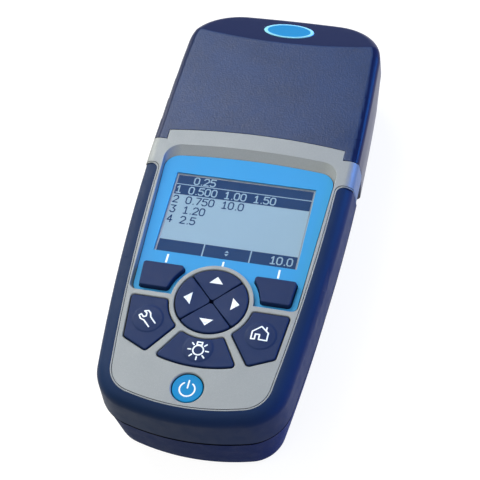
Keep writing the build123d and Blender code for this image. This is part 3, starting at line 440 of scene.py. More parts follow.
@dataclass(frozen=True)
class TexturedMould(Finish):
    """Moulded plastic with a grain of flat-topped cells, and flanks that may be polished and
    painted darker as shade.
    """

    gloss_drift: float = 0.1
    edge_share: float = 0.5
    cell: float = 0.5 * MM
    cell_blend: float = 0.6
    pit_range: Point = (0.15, 0.75)
    pit_depth: float = 0.6
    pit_share: float = 0.3
    pit_shade: float = 0.72
    flank: Colour | None = None
    flank_roughness: float = 0.28
    flank_specular: float = 0.06
    flank_relief: float = 0.12
    flat_range: Point = (0.962, 0.99)

    def inputs(self, wiring: Wiring) -> Inputs:
        """Shader inputs of the finish.

        Args:
            wiring: Nodes of the material.

        Returns:
            Values and sockets by name.
        """
        rounded, edge = wiring.edges(self.edge_radius)
        cells = {"Vector": wiring.place(), "Scale": 1 / self.cell, "Smoothness": self.cell_blend}
        depth = wiring.add("TexVoronoi", cells, feature="SMOOTH_F1").outputs["Distance"]
        pits = wiring.ranged(depth, 0.0, 1.0, *self.pit_range)
        height = wiring.sums("MULTIPLY", pits, self.pit_depth)
        height = wiring.sums("ADD", height, wiring.noise(self.grain, 3.0))
        pit_colour = shaded(self.colour, self.pit_shade)
        colour = wiring.mixed(pits, self.tint(wiring), pit_colour, self.pit_share)
        # Painted highlight: sharp edges are mixed towards a lighter copy of the colour.
        light = shaded(self.colour, self.edge_light)
        colour = wiring.mixed(edge, colour, light, self.edge_share)
        # Painted shadow along the parting line: nearly black and without gloss.
        dust = self.seam(wiring)
        rough = wiring.varied(self.scuffs(wiring), self.roughness, self.gloss_drift)
        gloss = self.gloss(wiring, dust)
        # Painted shade: faces that are not level take the darker flank colour, with their own
        # roughness, specular level and a weaker relief.
        if self.flank:
            flat = wiring.ranged(wiring.facing("Z"), 0.0, 1.0, *self.flat_range)
            colour = wiring.mixed(flat, self.flank, colour)
            rough = wiring.sums("ADD", wiring.sums("MULTIPLY", flat, rough),
                                wiring.ranged(flat, self.flank_roughness, 0.0))
            gloss = wiring.ranged(flat, self.flank_specular, self.specular)
            height = wiring.sums("MULTIPLY", height, wiring.ranged(flat, self.flank_relief, 1.0))
        return {
            "Base Color": self.dusty(wiring, dust, colour),
            "Roughness": rough,
            "Specular IOR Level": gloss,
            "Sheen Weight": self.sheen,
            "Normal": wiring.bump(height, self.relief, rounded),
        }


@dataclass(frozen=True)
class BrushedMetal(Finish):
    """Metal with fine drawn lines and painted highlights on its edges."""

    gloss_drift: float = 0.3
    line: float = 0.06 * MM
    line_stretch: float = 30.0

    def inputs(self, wiring: Wiring) -> Inputs:
        """Shader inputs of the metal.

        Args:
            wiring: Nodes of the material.

        Returns:
            Values and sockets by name.
        """
        rounded, edge = wiring.edges(self.edge_radius)
        along = {"Vector": wiring.place(), "Scale": (1 / self.line_stretch, 1.0, 1.0)}
        lines = wiring.noise(self.line, vector=wiring.add("Mapping", along).outputs["Vector"])
        # Painted highlight: sharp edges take a lighter copy of the colour.
        light = shaded(self.colour, self.edge_light)
        return {
            "Base Color": wiring.mixed(edge, self.tint(wiring), light),
            "Metallic": 1.0,
            "Roughness": wiring.varied(lines, self.roughness, self.gloss_drift),
            "Normal": wiring.bump(lines, self.relief, rounded),
        }


@dataclass(frozen=True)
class BoardMask(Finish):
    """Solder mask with copper tracks just showing through it."""

    cell: float = 4.8 * MM
    tracks_per_cell: float = 4.0
    track_range: Point = (0.62, 0.68)
    track_light: float = 2.1

    def tint(self, wiring: Wiring) -> Socket:
        """Mask colour, lighter over the tracks.

        Args:
            wiring: Nodes of the material.

        Returns:
            The colour.
        """
        base = super().tint(wiring)
        cells = wiring.add("TexVoronoi", {"Vector": wiring.place(), "Scale": 1 / self.cell},
                           distance="MANHATTAN", feature="F2")
        rows = wiring.sums("MULTIPLY", cells.outputs["Distance"], self.tracks_per_cell)
        tracks = wiring.ranged(wiring.sums("FRACT", rows), 0.0, 1.0, *self.track_range)
        return wiring.mixed(tracks, base, shaded(self.colour, self.track_light))


@dataclass(frozen=True)
class ClearSheet(Look):
    """Clear window with a faint haze."""

    cover: float = 0.02
    cover_drift: float = 0.2
    roughness: float = 0.15
    clearest: float = 0.8
    dullest: float = 1.4
    haze: float = 9 * MM
    haze_shade: float = 0.9
    specular: float = 0.1
    wave: float = 14 * MM
    wave_depth: float = 0.02 * MM

    def inputs(self, wiring: Wiring) -> Inputs:
        """Shader inputs of the sheet.

        Args:
            wiring: Nodes of the material.

        Returns:
            Values and sockets by name.
        """
        haze = wiring.noise(self.haze, 3.0)
        rough = (self.roughness * self.clearest, self.roughness * self.dullest)
        return {
            "Base Color": wiring.mixed(haze, shaded(self.colour, self.haze_shade), self.colour),
            "Roughness": wiring.ranged(haze, *rough, *NOISE_MIDDLE),
            "Alpha": wiring.varied(haze, self.cover, self.cover_drift),
            "Specular IOR Level": self.specular,
            "Normal": wiring.bump(wiring.noise(self.wave, 1.0), self.wave_depth),
        }


@dataclass(frozen=True)
class LensGlass(Look):
    """Polished glass of the optics, with a little dust."""

    roughness: float = 0.03
    dust: float = 0.8 * MM
    dust_shade: float = 0.93
    dust_roughness: float = 3.0
    dust_range: Point = (0.55, 0.8)
    transmission: float = 0.85

    def inputs(self, wiring: Wiring) -> Inputs:
        """Shader inputs of the glass.

        Args:
            wiring: Nodes of the material.

        Returns:
            Values and sockets by name.
        """
        dust = wiring.noise(self.dust, 4.0)
        dull = self.roughness * self.dust_roughness
        return {
            "Base Color": wiring.mixed(dust, shaded(self.colour, self.dust_shade), self.colour),
            "Roughness": wiring.ranged(dust, self.roughness, dull, *self.dust_range),
            "Transmission Weight": self.transmission,
            "IOR": 1.5,
        }


@dataclass(frozen=True)
class LcdFilm(Look):
    """Reflective display layer made of fine dots."""

    dot: float = 0.26 * MM
    gap_light: float = 1.06
    gap_start: float = 0.75
    drift_size: float = 26 * MM
    shades: Point = (0.95, 1.04)
    roughness: Point = (0.5, 0.62)
    specular: float = 0.04

    def inputs(self, wiring: Wiring) -> Inputs:
        """Shader inputs of the film, with its dot grid.

        Args:
            wiring: Nodes of the material.

        Returns:
            Values and sockets by name.
        """
        lines, turns = [], 2 * math.pi / self.dot
        for axis in "XY":
            turn = wiring.sums("MULTIPLY", wiring.split(wiring.place(), axis), turns)
            lines.append(wiring.ranged(wiring.sums("SINE", turn), 0.0, 1.0, self.gap_start, 1.0))
        drift = wiring.noise(self.drift_size)
        colour = wiring.mixed(drift, *(shaded(self.colour, shade) for shade in self.shades))
        gaps = wiring.sums("MAXIMUM", *lines)
        return {
            "Base Color": wiring.mixed(gaps, colour, shaded(self.colour, self.gap_light)),
            "Roughness": wiring.ranged(drift, *self.roughness, *NOISE_MIDDLE),
            "Specular IOR Level": self.specular,
        }


@dataclass(frozen=True)
class WrappedCan(Look):
    """Printed sleeve round a battery cell, with its bare ends."""

    band: Colour
    metal: Colour
    band_y: float
    band_blur: float = 0.2 * MM
    grain: float = 0.4 * MM
    relief: float = 0.004 * MM
    roughness: Point = (0.25, 0.4)
    end_range: Point = (0.5, 0.6)

    def inputs(self, wiring: Wiring) -> Inputs:
        """Shader inputs of the sleeve, its band and the bare ends.

        Args:
            wiring: Nodes of the material.

        Returns:
            Values and sockets by name.
        """
        grain = wiring.noise(self.grain, 3.0)
        ends = wiring.ranged(wiring.facing("Y"), 0.0, 1.0, *self.end_range)
        along = wiring.split(wiring.place(), "Y")
        band = wiring.ranged(along, 0.0, 1.0, self.band_y, self.band_y + self.band_blur)
        sleeve = wiring.mixed(band, self.colour, self.band)
        return {
            "Base Color": wiring.mixed(ends, sleeve, self.metal),
            "Metallic": ends,
            "Roughness": wiring.ranged(grain, *self.roughness, *NOISE_MIDDLE),
            "Normal": wiring.bump(grain, self.relief),
        }


@dataclass(frozen=True)
class StudioFloor(Look):
    """Matt floor that looks white to the rays that are seen."""

    glow: float = 0.91
    roughness: float = 0.9
    specular: float = 0.1

    def inputs(self, wiring: Wiring) -> Inputs:
        """Shader inputs of the floor, with its glow.

        Args:
            wiring: Nodes of the material.

        Returns:
            Values and sockets by name.
        """
        glow = wiring.sums("MULTIPLY", wiring.seen(), self.glow)
        return {"Base Color": self.colour, "Roughness": self.roughness, "Emission Strength": glow,
                "Specular IOR Level": self.specular, "Emission Color": WHITE}


class Palette(Enum):
    """Every finish of the object, by the name of the record's slot where it has one."""

    # The cap's flanks are painted darker as shade.
    NAVY_SHELL = TexturedMould(
        "navy_shell", srgb(20, 46, 84), roughness=0.38, specular=0.24, grain=0.5 * MM,
        relief=0.06 * MM, drift=0.26, edge_radius=0.4 * MM, edge_light=1.4, cell=0.9 * MM,
        flank=srgb(10, 26, 62))
    # The rear case and the grip below carry a painted shadow along the parting line at seam_z.
    NAVY_REAR = TexturedMould(
        "navy_rear", srgb(32, 48, 88), roughness=0.6, specular=0.03, grain=0.4 * MM,
        relief=0.04 * MM, drift=0.12, edge_radius=0.4 * MM, edge_light=1.2, cell=0.8 * MM,
        seam_z=27.75 * MM)
    NAVY_GRIP = Finish(
        "navy_grip", srgb(25, 44, 74), roughness=0.48, specular=0.07, grain=0.3 * MM,
        relief=0.01 * MM, drift=0.08, edge_radius=0.4 * MM, edge_light=1.3, seam_z=27.75 * MM,
        seam_width=1.1 * MM)
    # The grey face has painted edge highlights and painted shade in its grooves and key gaps.
    GREY_SHELL = MetallicPaint(
        "grey_shell", srgb(138, 142, 140), roughness=0.45, specular=0.15, metallic=0.1,
        grain=0.3 * MM, relief=0.006 * MM, drift=0.03, edge_radius=0.35 * MM, edge_light=2.3,
        crevice=0.8 * MM)
    BLUE_PANEL = Finish(
        "blue_panel", srgb(58, 146, 198), roughness=0.45, specular=0.08, grain=0.2 * MM,
        relief=0.003 * MM, drift=0.04, drift_size=40 * MM, edge_light=1.2)
    KEY_NAVY = Finish(
        "key_navy", srgb(24, 42, 78), specular=0.12, grain=0.2 * MM, relief=0.006 * MM,
        drift_size=12 * MM, edge_radius=0.3 * MM, edge_light=1.6)
    POWER_BLUE = Finish(
        "power_blue", srgb(0, 126, 178), roughness=0.45, specular=0.12, grain=0.2 * MM,
        relief=0.004 * MM, drift=0.05, drift_size=9 * MM, edge_light=1.25)
    BADGE_BLUE = RimmedBadge(
        "badge_blue", srgb(14, 124, 168), roughness=0.35, specular=0.1, grain=0.3 * MM,
        relief=0.001 * MM, drift=0.03, edge_radius=0.05 * MM, edge_light=1.0,
        rim=srgb(140, 208, 224))
    MARK_WHITE = Finish("mark_white", srgb(234, 242, 240), roughness=0.45, grain=0.15 * MM,
                        relief=0.002 * MM, drift=0.02, edge_light=1.0)
    HEAD_BLACK = TexturedMould("head_black", srgb(34, 35, 38), roughness=0.55, grain=0.3 * MM,
                               relief=0.03 * MM, drift=0.08, edge_light=1.8)
    SEAL_BLACK = Finish("seal_black", srgb(30, 30, 32), roughness=0.6, grain=0.2 * MM,
                        relief=0.01 * MM, drift=0.08, edge_light=1.4, sheen=0.1)
    FOOT_RUBBER = Finish("foot_rubber", srgb(44, 45, 48), roughness=0.7, grain=0.3 * MM,
                         relief=0.02 * MM, drift=0.1, edge_light=1.5)
    BOARD_GREEN = BoardMask("board_green", srgb(18, 92, 56), roughness=0.35, relief=0.004 * MM)
    SCREW_STEEL = BrushedMetal("screw_steel", srgb(196, 198, 202), 0.32, relief=0.004 * MM)
    SPRING_STEEL = BrushedMetal("spring_steel", srgb(214, 212, 206), 0.22, relief=0.002 * MM)
    SOCKET_STEEL = BrushedMetal("socket_steel", srgb(200, 203, 208), 0.28, relief=0.003 * MM)
    DIODE_CAN = BrushedMetal("diode_can", srgb(206, 196, 168), 0.25, relief=0.002 * MM)
    BACKLIGHT_WHITE = Finish("backlight_white", srgb(236, 238, 240), roughness=0.35, drift=0.02,
                             edge_light=1.0)
    LED_LENS = Finish("led_lens", srgb(226, 232, 240), roughness=0.12, relief=0.001 * MM,
                      drift=0.02, coat=0.6)
    OPTIC_GLASS = LensGlass("optic_glass", srgb(226, 236, 246))
    CLEAR_WINDOW = ClearSheet("clear_window", srgb(190, 205, 216))
    DISPLAY_GLASS = LcdFilm("display_glass", srgb(140, 167, 180))
    DISPLAY_INK = LcdFilm("display_ink", srgb(2, 46, 88), gap_light=1.15)
    DISPLAY_FRAME = Finish("display_frame", srgb(112, 124, 140), roughness=0.4, relief=0.003 * MM,
                           drift=0.04)


def dress(piece: Object, look: Look) -> None:
    """Gives a piece one look in all its slots.

    Args:
        piece: The piece.
        look: The look.
    """
    if not piece.material_slots:
        piece.data.materials.append(look.material())
    for entry in piece.material_slots:
        entry.material = look.material()


@dataclass(frozen=True)
class SoftShading:
    """Shading that runs smoothly over tangent faces and stays crisp on sharp edges."""

    weld: float = 0.0005 * MM
    sharp_angle: float = 26.0

    @cache
    def group(self) -> NodeTree:
        """Node group that joins the faces and marks the sharp edges, made once.

        Returns:
            The group.
        """
        tree = bpy.data.node_groups.new("soft_shading", "GeometryNodeTree")
        for way in ("INPUT", "OUTPUT"):
            tree.interface.new_socket("Geometry", in_out=way, socket_type="NodeSocketGeometry")
        start, end, merge, angle, sharper, normals = (tree.nodes.new(kind) for kind in (
            "NodeGroupInput", "NodeGroupOutput", "GeometryNodeMergeByDistance",
            "GeometryNodeInputMeshEdgeAngle", "FunctionNodeCompare", "GeometryNodeSetMeshNormal"))
        merge.inputs["Distance"].default_value = self.weld
        sharper.operation = "GREATER_THAN"
        sharper.inputs["B"].default_value = math.radians(self.sharp_angle)
        normals.inputs["Remove Custom"].default_value = True
        for source, target in (
                (start.outputs[0], merge.inputs["Geometry"]),
                (merge.outputs[0], normals.inputs["Mesh"]),
                (angle.outputs["Unsigned Angle"], sharper.inputs["A"]),
                (sharper.outputs[0], normals.inputs["Edge Sharpness"]),
                (normals.outputs[0], end.inputs[0])):
            tree.links.new(source, target)
        return tree

    def apply(self, piece: Object) -> None:
        """Adds the shading to a piece.

        Args:
            piece: The piece.
        """
        piece.modifiers.new("soft_shading", "NODES").node_group = self.group()
        weighted = piece.modifiers.new("even_flats", "WEIGHTED_NORMAL")
        weighted.keep_sharp, weighted.mode = True, "FACE_AREA"


@dataclass
class Outline:
    """Flat shape made of strokes and filled areas, in metres."""

    areas: list[list[Point]] = field(default_factory=list)

    def fill(self, points: Iterable[Point]) -> "Outline":
        """Adds a filled area.

        Args:
            points: Corners of the area.

        Returns:
            The outline itself.
        """
        corners = list(points)
        sides = zip(corners, corners[1:] + corners[:1])
        turn = sum(x0 * y1 - x1 * y0 for (x0, y0), (x1, y1) in sides)
        self.areas.append(corners if turn > 0 else corners[::-1])
        return self

    def stroke(self, points: Sequence[Point], width: float, closed: bool = False) -> "Outline":
        """Adds a line of even width with round joints.

        Args:
            points: Points of the line.
            width: Width of the line.
            closed: True where the line returns to its start.

        Returns:
            The outline itself.
        """
        ends = list(points) + ([points[0]] if closed else [])
        for (x0, y0), (x1, y1) in zip(ends, ends[1:]):
            length = math.hypot(x1 - x0, y1 - y0)
            side_x, side_y = (y0 - y1) / length * width / 2, (x1 - x0) / length * width / 2
            self.fill([(x0 - side_x, y0 - side_y), (x1 - side_x, y1 - side_y),
                       (x1 + side_x, y1 + side_y), (x0 + side_x, y0 + side_y)])
        for point in points:
            self.fill(arc(point, width / 2, 0, 360 - 360 / JOINT_STEPS, JOINT_STEPS))
        return self

    def moved(self, x: float, y: float) -> "Outline":
        """Same shape in another place."""
        return Outline([[(px + x, py + y) for px, py in area] for area in self.areas])

    def turned(self, angle: float) -> "Outline":
        """Same shape turned about the origin by an angle in degrees."""
        c, s = math.cos(math.radians(angle)), math.sin(math.radians(angle))
        return Outline([[(x * c - y * s, x * s + y * c) for x, y in area] for area in self.areas])

    def joined(self, other: "Outline") -> "Outline":
        """Both shapes as one."""
        return Outline(self.areas + other.areas)

    def mesh(self, z: float = 0.0) -> BMesh:
        """Flat mesh of the whole shape, with no overlaps.

        Args:
            z: Level of the mesh.

        Returns:
            The mesh.
        """
        points, faces = [], []
        for area in self.areas:
            faces.append(list(range(len(points), len(points) + len(area))))
            points += [Vector(point) for point in area]
        flat, _, triangles, _, _, owners = delaunay_2d_cdt(points, [], faces, 1, 1e-8)
        made = bmesh.new()
        corners = [made.verts.new((x, y, z)) for x, y in flat]
        for triangle, owner in zip(triangles, owners):
            if owner:
                made.faces.new([corners[index] for index in triangle])
        loose = [corner for corner in corners if not corner.link_faces]
        bmesh.ops.delete(made, geom=loose, context="VERTS")
        return made


def arc(centre: Point, radius: float, start: float, end: float, steps: int) -> list[Point]:
    """Points of an arc about its centre, from one angle in degrees to another, in even steps."""
    turns = (math.radians(start + (end - start) * index / (steps - 1)) for index in range(steps))
    return [(centre[0] + radius * math.cos(a), centre[1] + radius * math.sin(a)) for a in turns]


def bar(x0: float, y0: float, x1: float, y1: float) -> list[Point]:
    """Corners of an upright rectangle."""
    return [(x0, y0), (x1, y0), (x1, y1), (x0, y1)]


def in_mm(*points: Point) -> list[Point]:
    """Points that are given in millimetres."""
    return [(x * MM, y * MM) for x, y in points]


def middle(*names: str) -> Vector:
    """Middle of one or more nodes at rest, seen from above."""
    corners = [corner.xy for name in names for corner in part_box(name)]
    return Vector([(min(values) + max(values)) / 2 for values in zip(*corners)])


@dataclass
class Printer:
    """Turns outlines into thin printed pieces that lie on what carries them."""

    ink: Palette = Palette.MARK_WHITE
    thickness: float = 0.03 * MM
    lift: float = 0.012 * MM
    cell: float = 0.7 * MM

    def mark(self, name: str, outline: Outline, carrier: Object, body: str) -> None:
        """Prints an outline in white on a piece, following its surface.

        Args:
            name: Name of the mark.
            outline: Shape of the mark seen from above.
            carrier: Object that carries the mark.
            body: Body that the mark moves with.
        """
        made = outline.mesh()
        self.divide(made)
        tree = BVHTree.FromObject(carrier, bpy.context.evaluated_depsgraph_get())
        top = max(corner[2] for corner in carrier.bound_box) + self.cell
        for vert in made.verts:
            hit = tree.ray_cast(Vector((vert.co.x, vert.co.y, top)), Vector((0, 0, -1)))[0]
            vert.co.z = (hit.z if hit else top - self.cell) + self.lift
        self.piece(name, made, body, self.ink, self.thickness)

    def layer(self, name: str, outline: Outline, z: float, ink: Palette) -> None:
        """Prints an outline on a level surface that doesn't move, with its upper face at z."""
        self.piece(name, outline.mesh(z), "root", ink, self.thickness / 4)

    def divide(self, made: BMesh) -> None:
        """Cuts a flat mesh into cells, so that it can follow a curved surface.

        Args:
            made: The flat mesh.
        """
        for axis in (0, 1):
            along = [vert.co[axis] for vert in made.verts]
            place = math.floor(min(along) / self.cell) * self.cell
            normal = Vector((1 - axis, axis, 0))
            while place < max(along):
                bmesh.ops.bisect_plane(made, geom=made.verts[:] + made.edges[:] + made.faces[:],
                                       plane_co=normal * place, plane_no=normal)
                place += self.cell

    def piece(self, name: str, made: BMesh, body: str, ink: Palette,
              thickness: float) -> None:
        """Makes the object of a mark, with its thickness and finish.

        Args:
            name: Name of the piece.
            made: Its upper surface.
            body: Body that it moves with.
            ink: Its finish.
            thickness: How far it goes down.
        """
        for face in made.faces:
            if face.normal.z < 0:
                face.normal_flip()
        bmesh.ops.recalc_face_normals(made, faces=made.faces[:])
        if sum(face.normal.z for face in made.faces) < 0:
            bmesh.ops.reverse_faces(made, faces=made.faces[:])
        bmesh.ops.solidify(made, geom=made.faces[:], thickness=thickness)
        piece = place_mesh(name, made)
        dress(piece, ink.value)
        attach(piece, body)
        LOG.info("printed %s on body %s", name, body)


def hang(name: str, data: ID) -> Object:
    """Puts a new object with its data into the scene.

    Args:
        name: Name of the object.
        data: Its mesh, light or camera.

    Returns:
        The object.
    """
    made = bpy.data.objects.new(name, data)
    bpy.context.scene.collection.objects.link(made)
    return made


def place_mesh(name: str, made: BMesh) -> Object:
    """Puts a mesh under construction into the scene.

    Args:
        name: Name of the object and its mesh.
        made: The mesh, which is used up.

    Returns:
        The object.
    """
    mesh = bpy.data.meshes.new(name)
    made.to_mesh(mesh)
    made.free()
    return hang(name, mesh)


@dataclass
class Housing:
    """Shells, grip, keys and every other piece that keeps its own shape."""

    frame: dict
    shading: SoftShading = SoftShading()
    cell_band: float = 13 * MM
    can_colours: tuple[Colour, ...] = (srgb(30, 32, 36), srgb(196, 122, 62), srgb(200, 200, 196))
    repainted: dict[str, Palette] = field(default_factory=lambda: {
        "rear_case": Palette.NAVY_REAR,
        "keypad_mat": Palette.KEY_NAVY,
    })
    domes: dict[str, Place] = field(default_factory=lambda: {
        "settings_key": (-24.8 * MM, -71.2 * MM, 7.1 * MM),
        "lamp_key": (0.0 * MM, -81.8 * MM, 6.9 * MM),
        "home_key": (24.8 * MM, -71.2 * MM, 7.1 * MM),
    })

    def build(self) -> None:
        """Gives every node its finish and its shading."""
        slots = {part["node"]: part["material_slot"] for part in self.frame["record"]["subparts"]}
        for name, node in self.frame["nodes"].items():
            dress(node, self.look(name, slots[name]))
            self.shading.apply(node)
            LOG.info("finished %s as %s", name, slots[name])

    def look(self, name: str, slot: str) -> Look:
        """Look of one node.

        Args:
            name: Name of the node.
            slot: Its material slot.

        Returns:
            The look.
        """
        if name in self.repainted:
            return self.repainted[name].value
        if name in self.domes:
            x, y, radius = self.domes[name]
            skin = asdict(Palette.KEY_NAVY.value) | {"name": "key_navy_" + name}
            return DomedKey(**skin, dome_x=x, dome_y=y, dome_radius=radius)
        if slot != "cell_can":
            return Palette[slot.upper()].value
        band_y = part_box(name)[1].y - self.cell_band
        return WrappedCan(name + "_sleeve", *self.can_colours, band_y)


DIGITS: dict[str, tuple[tuple[Point, ...], ...]] = {
    "0": (((0, 0.2), (0, 0.8), (0.25, 1), (0.75, 1), (1, 0.8), (1, 0.2), (0.75, 0), (0.25, 0),
           (0, 0.2)),),
    "1": (((0.2, 0.78), (0.55, 1), (0.55, 0)), ((0.15, 0), (0.95, 0))),
    "2": (((0, 0.8), (0.25, 1), (0.75, 1), (1, 0.8), (1, 0.6), (0, 0), (1, 0)),),
    "3": (((0, 1), (1, 1), (0.5, 0.6), (1, 0.4), (1, 0.2), (0.75, 0), (0.25, 0), (0, 0.15)),),
    "4": (((0.7, 0), (0.7, 1), (0, 0.3), (1, 0.3)),),
    "5": (((1, 1), (0.1, 1), (0, 0.58), (0.7, 0.62), (1, 0.42), (1, 0.2), (0.75, 0), (0.2, 0),
           (0, 0.12)),),
    "7": (((0, 1), (1, 1), (0.35, 0)),),
    ".": (((0.25, 0), (0.26, 0.02)),),
}


@dataclass
class Display:
    """Picture on the display: title bar, chosen row, rows of plain numbers and three fields."""

    printer: Printer
    title: str = "0.25"
    title_indent: float = 2.4
    chosen: str = "1  0.500  1.00  1.50"
    others: tuple[str, ...] = ("2  0.750  10.0", "3  1.20", "4  2.5")
    field_number: str = "10.0"
    field_indent: float = 3.0
    field_half: float = 31.6 * MM
    field_top: float = 8.0 * MM
    field_foot: float = -34.2 * MM
    frame_line: float = 0.5 * MM
    title_foot: float = 3.2 * MM
    rule: float = 0.45 * MM
    row_height: float = 5.5 * MM
    soft_height: float = 6.4 * MM
    divider: float = 0.6 * MM
    divider_x: float = 10.7 * MM
    digit_height: float = 3.7 * MM
    digit_width: float = 2.2 * MM
    digit_pitch: float = 3.05 * MM
    digit_stroke: float = 0.6 * MM
    stepper_half: float = 0.95 * MM
    stepper_rise: float = 1.1 * MM
    stepper_gap: float = 0.35 * MM
    gap: float = 0.012 * MM

    def build(self) -> None:
        """Prints the frame line, the bars, the numbers and the small triangles."""
        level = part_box("lcd_panel")[1].z
        ink = level + 2 * self.gap
        paper = level + 3 * self.gap
        dark, light = self.rows()
        self.printer.layer("display_frame_line", self.frame_outline(), ink, Palette.DISPLAY_FRAME)
        self.printer.layer("display_bars", self.bars(), ink, Palette.DISPLAY_INK)
        self.printer.layer("display_row_numbers", dark, ink, Palette.DISPLAY_INK)
        self.printer.layer("display_bar_numbers", light, paper, Palette.DISPLAY_GLASS)

    def frame_outline(self) -> Outline:
        """Thin line round the live area.

        Returns:
            The outline.
        """
        half, top, foot, line = self.field_half, self.field_top, self.field_foot, self.frame_line
        shape = Outline().fill(bar(-half - line, top, half + line, top + line))
        shape.fill(bar(-half - line, foot - line, half + line, foot))
        for side in (-1, 1):
            inner, outer = sorted((side * half, side * (half + line)))
            shape.fill(bar(inner, foot, outer, top))
        return shape

    def bars(self) -> Outline:
        """Dark title bar, chosen row and the three fields over the keys.

        Returns:
            The outline.
        """
        half, centre, gap = self.field_half, self.divider_x, self.divider / 2
        shape = Outline().fill(bar(-half, self.title_foot, half, self.field_top))
        chosen_top = self.title_foot - self.rule
        shape.fill(bar(-half, chosen_top - self.row_height, half, chosen_top))
        edges = [-half, -centre - gap, -centre + gap, centre - gap, centre + gap, half]
        for left, right in zip(edges[::2], edges[1::2]):
            shape.fill(bar(left, self.field_foot, right, self.field_foot + self.soft_height))
        return shape

    def rows(self) -> tuple[Outline, Outline]:
        """Numbers of the rows.

        Returns:
            The dark numbers on the light field, and the light ones on the bars.
        """
        left = -self.field_half + self.digit_stroke
        title_y = (self.title_foot + self.field_top) / 2
        chosen_y = self.title_foot - self.rule - self.row_height / 2
        soft_y = self.field_foot + self.soft_height / 2
        dark = Outline()
        for index, text in enumerate(self.others):
            dark = dark.joined(self.number(text, left, chosen_y - (index + 1) * self.row_height))
        light = self.number(self.title, left + self.title_indent * self.digit_pitch, title_y)
        light = light.joined(self.number(self.chosen, left, chosen_y))
        field_x = self.divider_x + self.field_indent * self.digit_pitch
        light = light.joined(self.number(self.field_number, field_x, soft_y))
        return dark, light.joined(self.steppers(soft_y))

    def steppers(self, y: float) -> Outline:
        """Two small triangles in the middle of the picture, one up and one down.

        Args:
            y: Middle of the pair.

        Returns:
            The outline.
        """
        shape = Outline()
        for way in (-1, 1):
            base, tip = y + way * self.stepper_gap, y + way * (self.stepper_gap + self.stepper_rise)
            shape.fill([(-self.stepper_half, base), (self.stepper_half, base), (0.0, tip)])
        return shape

    def number(self, text: str, x: float, y: float) -> Outline:
        """A line of plain digits, points and spaces.

        Args:
            text: The digits.
            x: Left end of the line.
            y: Middle of the line.

        Returns:
            The outline.
        """
        shape = Outline()
        for sign in text:
            for line in DIGITS.get(sign, ()):
                shape.stroke([(x + px * self.digit_width, y + (py - 0.5) * self.digit_height)
                              for px, py in line], self.digit_stroke)
            x += self.digit_pitch * (0.5 if sign in " ." else 1.0)
        return shape


@dataclass
class PanelMarks:
    """White lines that lead from the display's fields to the keys."""

    frame: dict
    printer: Printer
    width: float = 0.9 * MM
    side_x: float = 25.3 * MM
    top: float = -36.0 * MM
    side_foot: float = -40.5 * MM
    middle_foot: float = -38.6 * MM

    def build(self) -> None:
        """Prints the three lines."""
        shape, half = Outline(), self.width / 2
        for x, foot in ((0.0, self.middle_foot), (-self.side_x, self.side_foot),
                        (self.side_x, self.side_foot)):
            shape.fill(bar(x - half, foot, x + half, self.top))
        self.printer.mark("soft_key_lines", shape, self.frame["nodes"]["display_overlay"], "root")


ARROWS = {"key_up": 0, "key_left": 90, "key_down": 180, "key_right": 270}


